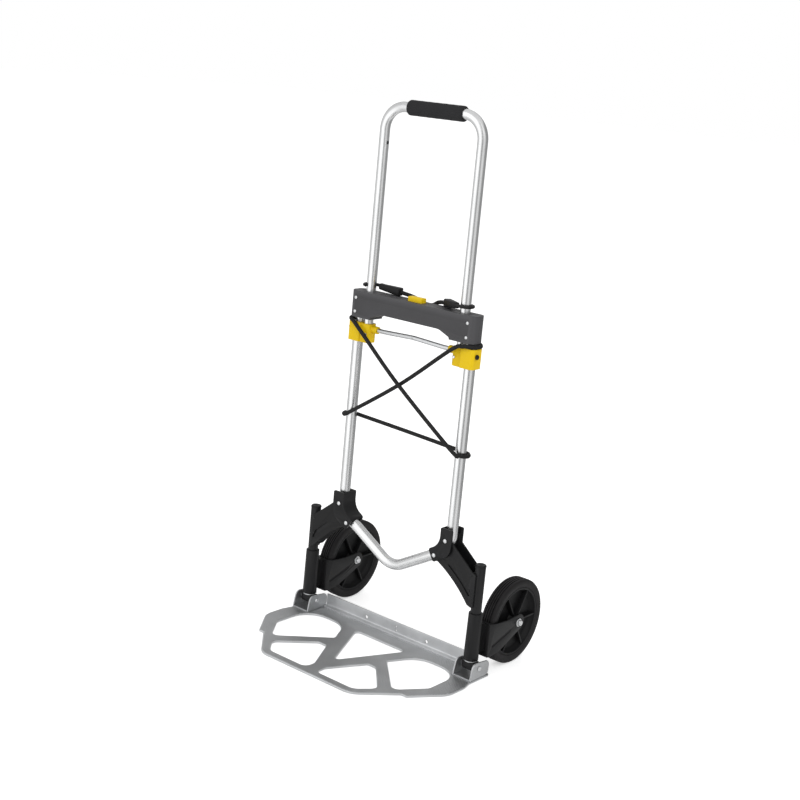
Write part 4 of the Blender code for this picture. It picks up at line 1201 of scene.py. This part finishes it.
# ---------------------------------------------------------------- handle
@dataclass
class Handle:
    """The sliding handle: bent tube, foam grip, the two sliders and the brace between them."""

    leg_x: float = 0.1170
    radius: float = 0.0100
    wall: float = 0.0013
    top: float = 1.0660
    bend: float = 0.0455
    hole_z: tuple[float, float] = (0.6855, 0.9955)
    hole_radius: float = 0.0034
    body: str = "handle"

    def build(self) -> None:
        """Build the tube, grip, sliders and brace."""
        self.make_tube()
        self.make_grip()
        for side in Side:
            self.make_slider(side)
        self.make_brace()

    def make_tube(self) -> None:
        """Bend the tube and drill its lock holes."""
        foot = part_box("handle_tube")[0].z
        rise = self.top - self.bend - foot
        pipe = Pipe("handle_tube_bent", (-self.leg_x, 0, foot), (0, 0, 1), self.radius)
        pipe.straight(rise).bend(self.bend, 90, -1).straight(2 * (self.leg_x - self.bend))
        pipe.bend(self.bend, 90, -1).straight(rise)
        tube = pipe.close(self.wall)
        for side in Side:
            for z in self.hole_z:
                inner = side.value * (self.leg_x - self.radius - 0.004)
                cut(tube, drum("lock_hole", (inner, 0, z), (side.value * self.leg_x, 0, z),
                               self.hole_radius, 20))
        deliver(tube, Finishes.TUBE, self.body, "handle_tube", angle=50)

    def make_grip(self) -> None:
        """Turn the foam sleeve with its soft ends."""
        low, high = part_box("handle_grip")
        middle = (low + high) / 2
        outer = (high.z - low.z) / 2
        inner = self.radius + 0.0003
        half = (high.x - low.x) / 2
        end = [(inner, half)] + [(outer - 0.0030 + 0.0030 * math.sin(a), half - 0.0030 + 0.0030 * math.cos(a))
                                 for a in (math.radians(15 * s) for s in range(7))]
        runs = [(outer + 0.00012 * (-1) ** s, half - 0.010 - s * (2 * half - 0.020) / 12) for s in range(13)]
        profile = end + runs + [(r, -h) for r, h in reversed(end)]
        grip = turned("foam_grip", profile, middle, Axis.X, 56)
        deliver(grip, Finishes.FOAM, self.body, "handle_grip", angle=50)

    def make_slider(self, side: Side) -> None:
        """Round the slider, its screw and its side bolt.

        Args:
            side: which side of the truck.
        """
        word = side.word
        refine("slider_" + word, "slide_block_" + word, Finishes.YELLOW, self.body, 0.0009, 55.0)
        refine("slider_screw_" + word, "slide_screw_" + word, Finishes.BRIGHT, self.body, 0.0004)
        refine("slider_bolt_" + word, "slide_bolt_" + word, Finishes.BLACK, self.body, 0.0005)

    def make_brace(self) -> None:
        """Bend the light brace rod and drill its middle."""
        low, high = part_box("brace_rod")
        radius = 0.0045
        z = low.z + radius
        arch = high.z - low.z - 2 * radius
        knots = [(low.x, 0, z), (-0.075, 0, z), (-0.018, 0, z + arch * 0.8), (0.0, 0, z + arch),
                 (0.018, 0, z + arch * 0.8), (0.075, 0, z), (high.x, 0, z)]
        rod = wire("brace_bar", route(knots, [1] + [4] * 4 + [1]), radius, 24)
        cut(rod, drum("brace_hole", (0, -radius - 0.002, z + arch), (0, -radius + 0.0035, z + arch),
                      0.0011, 16))
        deliver(rod, Finishes.STEEL, self.body, "brace_rod", angle=40)


def route(knots: Sequence[Sequence[float]], steps: Sequence[int]) -> list[Vector]:
    """A smooth path through knots.

    Args:
        knots: the points that it passes.
        steps: how many steps each span takes.

    Returns:
        The points of the path.
    """
    held = [2 * Vector(knots[0]) - Vector(knots[1]), *(Vector(knot) for knot in knots),
            2 * Vector(knots[-1]) - Vector(knots[-2])]
    points = []
    for span, count in enumerate(steps):
        a, b, c, d = held[span:span + 4]
        for step in range(count):
            t = step / count
            points.append(0.5 * (2 * b + (c - a) * t + (2 * a - 5 * b + 4 * c - d) * t ** 2
                                 + (3 * b - a - 3 * c + d) * t ** 3))
    points.append(held[-2])
    return points


# ---------------------------------------------------------------- toe plate
@dataclass
class ToePlate:
    """The folding plate with its flange, its ribbed top and the two hinge clevises."""

    thickness: float = 0.0040
    half_width: float = 0.2440
    reach: float = 0.2400
    rear: float = 0.0360
    post_x: float = 0.2155
    ear_half: float = 0.0220
    pitch: float = 0.00325
    rib_height: float = 0.00070
    flange: float = 0.0330
    hinge_z: float = 0.0250
    body: str = "toe_plate"

    def build(self) -> None:
        """Build the plate, its ribs and its hinges."""
        self.make_plate()
        self.make_ribs()
        for side in Side:
            self.make_hinge(side)

    def outline(self, inset: float = 0.0) -> list[tuple]:
        """Plan of the plate, drawn in by an inset.

        Args:
            inset: how far it is drawn in.

        Returns:
            The points of the outline.
        """
        edge, step_y = 0.1950 - inset, -0.7 * self.reach
        side = self.post_x + self.ear_half + 0.0010 - inset
        inner = side - 0.0436
        back = [(inner, self.rear - 0.0145, 0), (inner, -0.0275, 0), (side, -0.0275, 0)]
        half = [*(back if inset else [(side, self.rear, 0.004), (side, -0.0290, 0.02)]),
                (self.half_width - inset, -0.0520, 0.045), (self.half_width - inset, -0.1000, 0.045),
                (edge, step_y + inset * 0.4, 0.003), (edge - 0.0125, step_y + inset, 0.002),
                (0.1180, 0.0010 + inset - self.reach, 0.040), (0.1000, inset - self.reach, 0.0)]
        return rounded(half + [(-u, v, r) for u, v, r in reversed(half)])

    def windows(self, spread: float = 0.0) -> list[list[tuple]]:
        """The five openings, each widened by a spread.

        Args:
            spread: how far each is widened.

        Returns:
            One outline for each opening.
        """
        front, rear, outer = 0.0185 - self.reach, -0.0120, self.half_width - 0.0420
        big = [(0.0700, -0.0760, 0.007), (0.1010, rear, 0.050), (outer, rear, 0.048), (outer, -0.1080, 0.018),
               (0.1600, -0.1680, 0.014)]
        small = [(0.0550, -0.1170, 0.007), (0.0760, -0.1170, 0.012), (0.1390, -0.1860, 0.014),
                 (0.1100, front, 0.022), (0.0145, front, 0.012), (0.0145, -0.1950, 0.014)]
        middle = [(0.0, -0.1560, 0.006), (-0.0660, rear - 0.0015, 0.008), (0.0660, rear - 0.0015, 0.008)]
        opened = []
        for corners in (big, small):
            opened += [rounded(corners), rounded([(-u, v, r) for u, v, r in reversed(corners)])]
        return [grown(shape, spread) for shape in (*opened, rounded(middle))]

    def make_plate(self) -> None:
        """Cut the plate, and grow the drawn flange on it with its rounded ledge and holes."""
        slab = plate("folding_plate", [self.outline(), *self.windows()], Plane.XY, 0.0, self.thickness,
                     0.0009, 2)
        low, back = self.thickness - 0.0010, self.rear - 0.0005
        face = back - 0.0030
        section = rounded([(face - 0.0090, low, 0), (back, low, 0), (back, self.flange, 0.0009),
                           (face, self.flange, 0.0009), (face, 0.0088, 0.0028),
                           (face - 0.0095, 0.0080, 0.0012)], 4)
        span = self.post_x - self.ear_half - 0.0006
        flange = plate("plate_flange", [section], Plane.YZ, -span, span)
        unite(slab, flange)
        for x, z, radius in ((-0.0805, 0.0170, 0.0036), (0.0805, 0.0170, 0.0036), (0.0, 0.0225, 0.0021),
                             (0.0, 0.0140, 0.0021)):
            cut(slab, drum("flange_hole", (x, face - 0.002, z), (x, back + 0.002, z), radius, 24))
        deliver(slab, Finishes.PLATE, self.body, "toe_plate", angle=30)

    def make_ribs(self) -> None:
        """Lay fine ribs from back to front over the plate's top."""
        low = self.thickness - 0.0006
        start = -self.pitch * int(self.half_width / self.pitch)
        rib = block("rib", (start + self.pitch * 0.02, -self.reach, low),
                    (start + self.pitch * 0.98, self.rear, self.thickness + self.rib_height))
        soften(rib, self.rib_height * 0.9, 1, 40)
        apply(rib, "ARRAY", count=2 * int(self.half_width / self.pitch), use_relative_offset=False,
              use_constant_offset=True, constant_offset_displace=(self.pitch, 0, 0))
        shape = plate("ribbed_area", [self.outline(0.0024), *self.windows(0.0017)], Plane.XY, low - 0.001,
                      0.0080)
        merge(rib, shape, "INTERSECT")
        rib.name = "plate_ribs"
        deliver(rib, Finishes.RIBS, self.body)

    def make_hinge(self, side: Side) -> None:
        """Build a clevis with its pin and its return spring.

        Args:
            side: which side of the truck.
        """
        word = side.word
        self.make_clevis(side)
        low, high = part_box("hinge_pin_" + word)
        middle = (low + high) / 2
        half = (high.x - low.x) / 2
        head = (high.z - low.z) / 2
        end = [(0.0, half - 0.0006), (0.0014, half - 0.0005), (0.0022, half), (head * 0.8, half - 0.0003),
               (head, half - 0.0022), (0.0030, half - 0.0026)]
        pin = turned("clevis_pin_" + word, end + [(r, -h) for r, h in reversed(end)], middle, Axis.X, 28)
        deliver(pin, Finishes.BRIGHT, self.body, "hinge_pin_" + word)
        low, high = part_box("hinge_spring_" + word)
        thick = 0.0008
        middle = (low + high) / 2
        span = (high.x - low.x) / 2 - thick
        turns = helix((high.z - low.z) / 2 - thick, -span, span, 3)
        coil = wire("clevis_spring_" + word, [middle + Vector((p.z, p.x, p.y)) for p in turns], thick, 8)
        deliver(coil, Finishes.STEEL, self.body, "hinge_spring_" + word)

    def make_clevis(self, side: Side) -> None:
        """Fold the clevis: a base and two round-topped ears, bored for the pin.

        Args:
            side: which side of the truck.
        """
        x, foot = side.value * self.post_x, self.thickness + 0.0003
        reach = self.ear_half - 0.0010
        base = soften(block("clevis_" + side.word, (x - reach, -0.0255, foot),
                            (x + reach, 0.0200, foot + 0.0030)), 0.0005)
        ear = rounded([(-0.0265, foot, 0.0015), (-0.0190, self.hinge_z + 0.0150, 0.0125),
                       (0.0330, self.hinge_z + 0.0090, 0.0110), (0.0330, foot, 0.010)], 8)
        for half in (-1, 1):
            faces = sorted((x + half * self.ear_half, x + half * (self.ear_half - 0.0030)))
            unite(base, plate("ear", [ear], Plane.YZ, faces[0], faces[1], 0.0006, 2))
        cut(base, drum("pin_bore", (x - 0.04, 0, self.hinge_z), (x + 0.04, 0, self.hinge_z), 0.0033, 24))
        deliver(base, Finishes.CLEVIS, self.body, "hinge_bracket_" + side.word, angle=30)


def grown(outline: Sequence[tuple], amount: float) -> list[tuple]:
    """An outline moved outwards by an amount.

    Args:
        outline: the points in order.
        amount: how far they move.

    Returns:
        The moved points.
    """
    turn = sum(Vector(a).cross(Vector(b)) for a, b in zip(outline, [*outline[1:], outline[0]]))
    moved = []
    for index, point in enumerate(outline):
        run = Vector(outline[(index + 1) % len(outline)]) - Vector(outline[index - 1])
        normal = Vector((run.y, -run.x)).normalized() * (1 if turn > 0 else -1)
        moved.append(tuple(Vector(point) + normal * amount))
    return moved


# ---------------------------------------------------------------- wheels
@dataclass
class Wheel:
    """One wheel with its fork, axle bolt and bush."""

    side: Side
    radius: float = 0.0875
    half_width: float = 0.0150
    seat: float = 0.0705
    rim_half: float = 0.0137
    hub: float = 0.0140
    hub_half: float = 0.0160
    web: float = 0.0022
    ribs: int = 6
    grooves: tuple[float, ...] = (-0.0075, -0.0025, 0.0025, 0.0075)
    groove_depth: float = 0.0022
    groove_half: float = 0.0009

    def build(self) -> None:
        """Build the tyre, rim, fork, axle and bush."""
        low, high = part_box("tyre_" + self.side.word)
        self.centre = (low + high) / 2
        self.make_tyre()
        self.make_rim()
        self.make_fork()
        self.make_axle()

    @property
    def wheel_body(self) -> str:
        """The body that turns."""
        return "wheel_" + self.side.word

    def make_tyre(self) -> None:
        """Turn the solid tyre with its grooved tread."""
        top, half = self.radius, self.half_width
        tread = [(top - 0.0040, half - 0.0002), (top - 0.0018, half - 0.0012), (top - 0.0005, half - 0.0035)]
        for place in reversed(self.grooves):
            tread += [(top - 0.0002, place + self.groove_half + 0.0003),
                      (top - self.groove_depth, place + self.groove_half),
                      (top - self.groove_depth, place - self.groove_half),
                      (top - 0.0002, place - self.groove_half - 0.0003)]
        tread += [(r, -h) for r, h in reversed(tread[:3])]
        inner = self.seat - 0.0003
        wall = [(inner + 0.0052, -half), (inner + 0.0040, -half + 0.0006), (inner + 0.0012, -half + 0.0006),
                (inner, -half + 0.0018)]
        profile = tread + wall + [(r, -h) for r, h in reversed(wall)]
        deliver(turned("grooved_tyre_" + self.side.word, profile, self.centre, Axis.X, 96), Finishes.TYRE,
                self.wheel_body, "tyre_" + self.side.word, angle=40)

    def make_rim(self) -> None:
        """Turn the dished rim, put its ribs in, and turn the bush."""
        edge, lip, hub = self.rim_half, self.seat - 0.0045, self.hub
        bore = 0.0041 + 0.0003 + 0.0020 + 0.0003
        half = [(self.seat - 0.0006, edge - 0.0005), (self.seat - 0.0012, edge), (lip + 0.0012, edge),
                (lip, edge - 0.0008), (lip - 0.0012, edge - 0.0050), (lip - 0.0070, self.web + 0.0006),
                (lip - 0.0160, self.web), (hub + 0.0080, self.web), (hub + 0.0030, self.web + 0.0006),
                (hub + 0.0014, self.web + 0.0030), (hub, self.hub_half - 0.0006),
                (hub - 0.0008, self.hub_half), (bore, self.hub_half)]
        rim = turned("dished_rim_" + self.side.word, half + [(r, -h) for r, h in reversed(half)],
                     (0, 0, 0), Axis.X, 72)
        rib = block("rim_rib", (-edge + 0.0012, -0.0019, hub - 0.0020), (edge - 0.0012, 0.0019, lip - 0.0002))
        soften(rib, 0.0007)
        for index in range(self.ribs):
            spare = rib.copy()
            spare.data = rib.data.copy()
            bpy.context.scene.collection.objects.link(spare)
            spare.data.transform(Matrix.Rotation(math.tau * (index + 0.5) / self.ribs, 4, "X"))
            unite(rim, spare)
        bpy.data.objects.remove(rib)
        rim.data.transform(Matrix.Translation(self.centre))
        deliver(rim, Finishes.RIM, self.wheel_body, "wheel_rim_" + self.side.word)
        outer, inner, half_bush = bore - 0.0003, 0.0044, self.hub_half
        ring = [(outer, half_bush), (outer, -half_bush), (inner, -half_bush), (inner, half_bush)]
        deliver(turned("hub_bush_" + self.side.word, ring, self.centre, Axis.X, 32), Finishes.STEEL,
                self.wheel_body, "wheel_bush_" + self.side.word)

    def make_fork(self) -> None:
        """Round the fork's edges and press the long hollow into its plates."""
        word = self.side.word
        fork = from_node("wheel_fork_" + word, "wheel_arm_" + word)
        x = self.centre.x
        a, b = Vector((0.0400, 0.0600)), Vector((0.0960, 0.0770))
        run = (b - a).normalized() * 0.0030
        across = Vector((-run.y, run.x))
        groove = rounded([(*(a - run - across), 0.0028), (*(b + run - across), 0.0028),
                          (*(b + run + across), 0.0028), (*(a - run + across), 0.0028)])
        for face in (-1, 1):
            faces = sorted((x + face * 0.0194, x + face * 0.0300))
            cut(fork, plate("fork_hollow", [groove], Plane.YZ, faces[0], faces[1]))
        soften(fork, 0.0006, 2, 45)
        deliver(fork, Finishes.BLACK, "fork_" + word, "wheel_fork_" + word)

    def make_axle(self) -> None:
        """Turn the axle bolt with its washers and dimpled head."""
        word = self.side.word
        low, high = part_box("axle_bolt_" + word)
        half = (high.x - low.x) / 2
        seat, head = 0.0203, 0.0062
        middle = Vector(((high.x + low.x) / 2, self.centre.y, self.centre.z))
        end = [(0.0, half - 0.0012), (0.0022, half - 0.0010), (0.0030, half), (head - 0.0010, half - 0.0003),
               (head, half - 0.0022), (head, seat + 0.0010), (head + 0.0020, seat + 0.0008),
               (head + 0.0022, seat), (0.0041, seat)]
        bolt = turned("axle_" + word, end + [(r, -h) for r, h in reversed(end)], middle, Axis.X, 32)
        deliver(bolt, Finishes.BRIGHT, "fork_" + word, "axle_bolt_" + word)


# ---------------------------------------------------------------- bungee cord
@dataclass
class LoadCord:
    """The elastic cord, wound round the frame's legs, with a hook on each end."""

    radius: float = 0.0040
    grasp_x: float = 0.1170
    body: str = "frame"
    knots: tuple[Point, ...] = (
        (-0.0560, 0.0150, 0.7125), (-0.0250, 0.0235, 0.7065), (0.0100, 0.0260, 0.6960),
        (0.0700, 0.0260, 0.6760), (0.1200, 0.0250, 0.6570), (0.1390, 0.0230, 0.6480),
        (0.1520, 0.0130, 0.6460), (0.1568, 0.0000, 0.6460), (0.1510, -0.0140, 0.6460),
        (0.1340, -0.0208, 0.6450), (0.1080, -0.0220, 0.6330), (-0.0060, -0.0165, 0.5430),
        (-0.1280, -0.0175, 0.4590), (-0.1480, -0.0145, 0.4490), (-0.1568, 0.0000, 0.4480),
        (-0.1480, 0.0145, 0.4470), (-0.1280, 0.0178, 0.4450), (0.0000, 0.0180, 0.4400),
        (0.1280, 0.0178, 0.4340), (0.1480, 0.0145, 0.4330), (0.1568, 0.0000, 0.4330),
        (0.1480, -0.0145, 0.4350), (0.1280, -0.0185, 0.4430), (-0.0090, -0.0260, 0.5430),
        (-0.1090, -0.0218, 0.6200), (-0.1360, -0.0208, 0.6410), (-0.1510, -0.0140, 0.6460),
        (-0.1568, 0.0000, 0.6460), (-0.1520, 0.0130, 0.6460), (-0.1390, 0.0230, 0.6480),
        (-0.1150, 0.0280, 0.6580), (-0.0600, 0.0335, 0.6750), (0.0080, 0.0355, 0.6960),
        (0.0330, 0.0265, 0.7070), (0.0660, 0.0105, 0.7130))

    def build(self) -> None:
        """Lay the cord and round its hooks."""
        path = route(self.knots, [6] * (len(self.knots) - 1))
        cord = wire("elastic_cord", path, self.radius, 16)
        deliver(cord, Finishes.CORD, self.body, "bungee_cord", angle=60)
        for side in Side:
            self.make_hook(side)

    def make_hook(self, side: Side) -> None:
        """Round the hook's claw and put the thick tapered block over its shank.

        Args:
            side: which side of the truck.
        """
        hook = soften(from_node("cord_hook_" + side.word, "end_hook_" + side.word), 0.0006, 2, 50)
        end = Vector(self.knots[0] if side is Side.LEFT else self.knots[-1])
        root = Vector((side.value * (self.grasp_x - 0.0125), -side.value * 0.0110, end.z + 0.0035))
        along = (root - end).normalized()
        shank = drum("hook_block", end - along * 0.0030, root, 0.0116, 4, 0.0078, 45.0)
        soften(shank, 0.0018, 1)
        deliver(gather(hook, soften(shank, 0.0005, 2, 20)), Finishes.BLACK, self.body,
                "cord_hook_" + side.word)


def main() -> None:
    """Build the studio and the truck."""
    logging.basicConfig(level=logging.INFO, format="%(message)s")
    Studio().build()
    TubeFrame().build()
    Crossbar().build()
    Handle().build()
    ToePlate().build()
    for side in Side:
        Wheel(side).build()
    LoadCord().build()


if __name__ == "__main__":
    main()
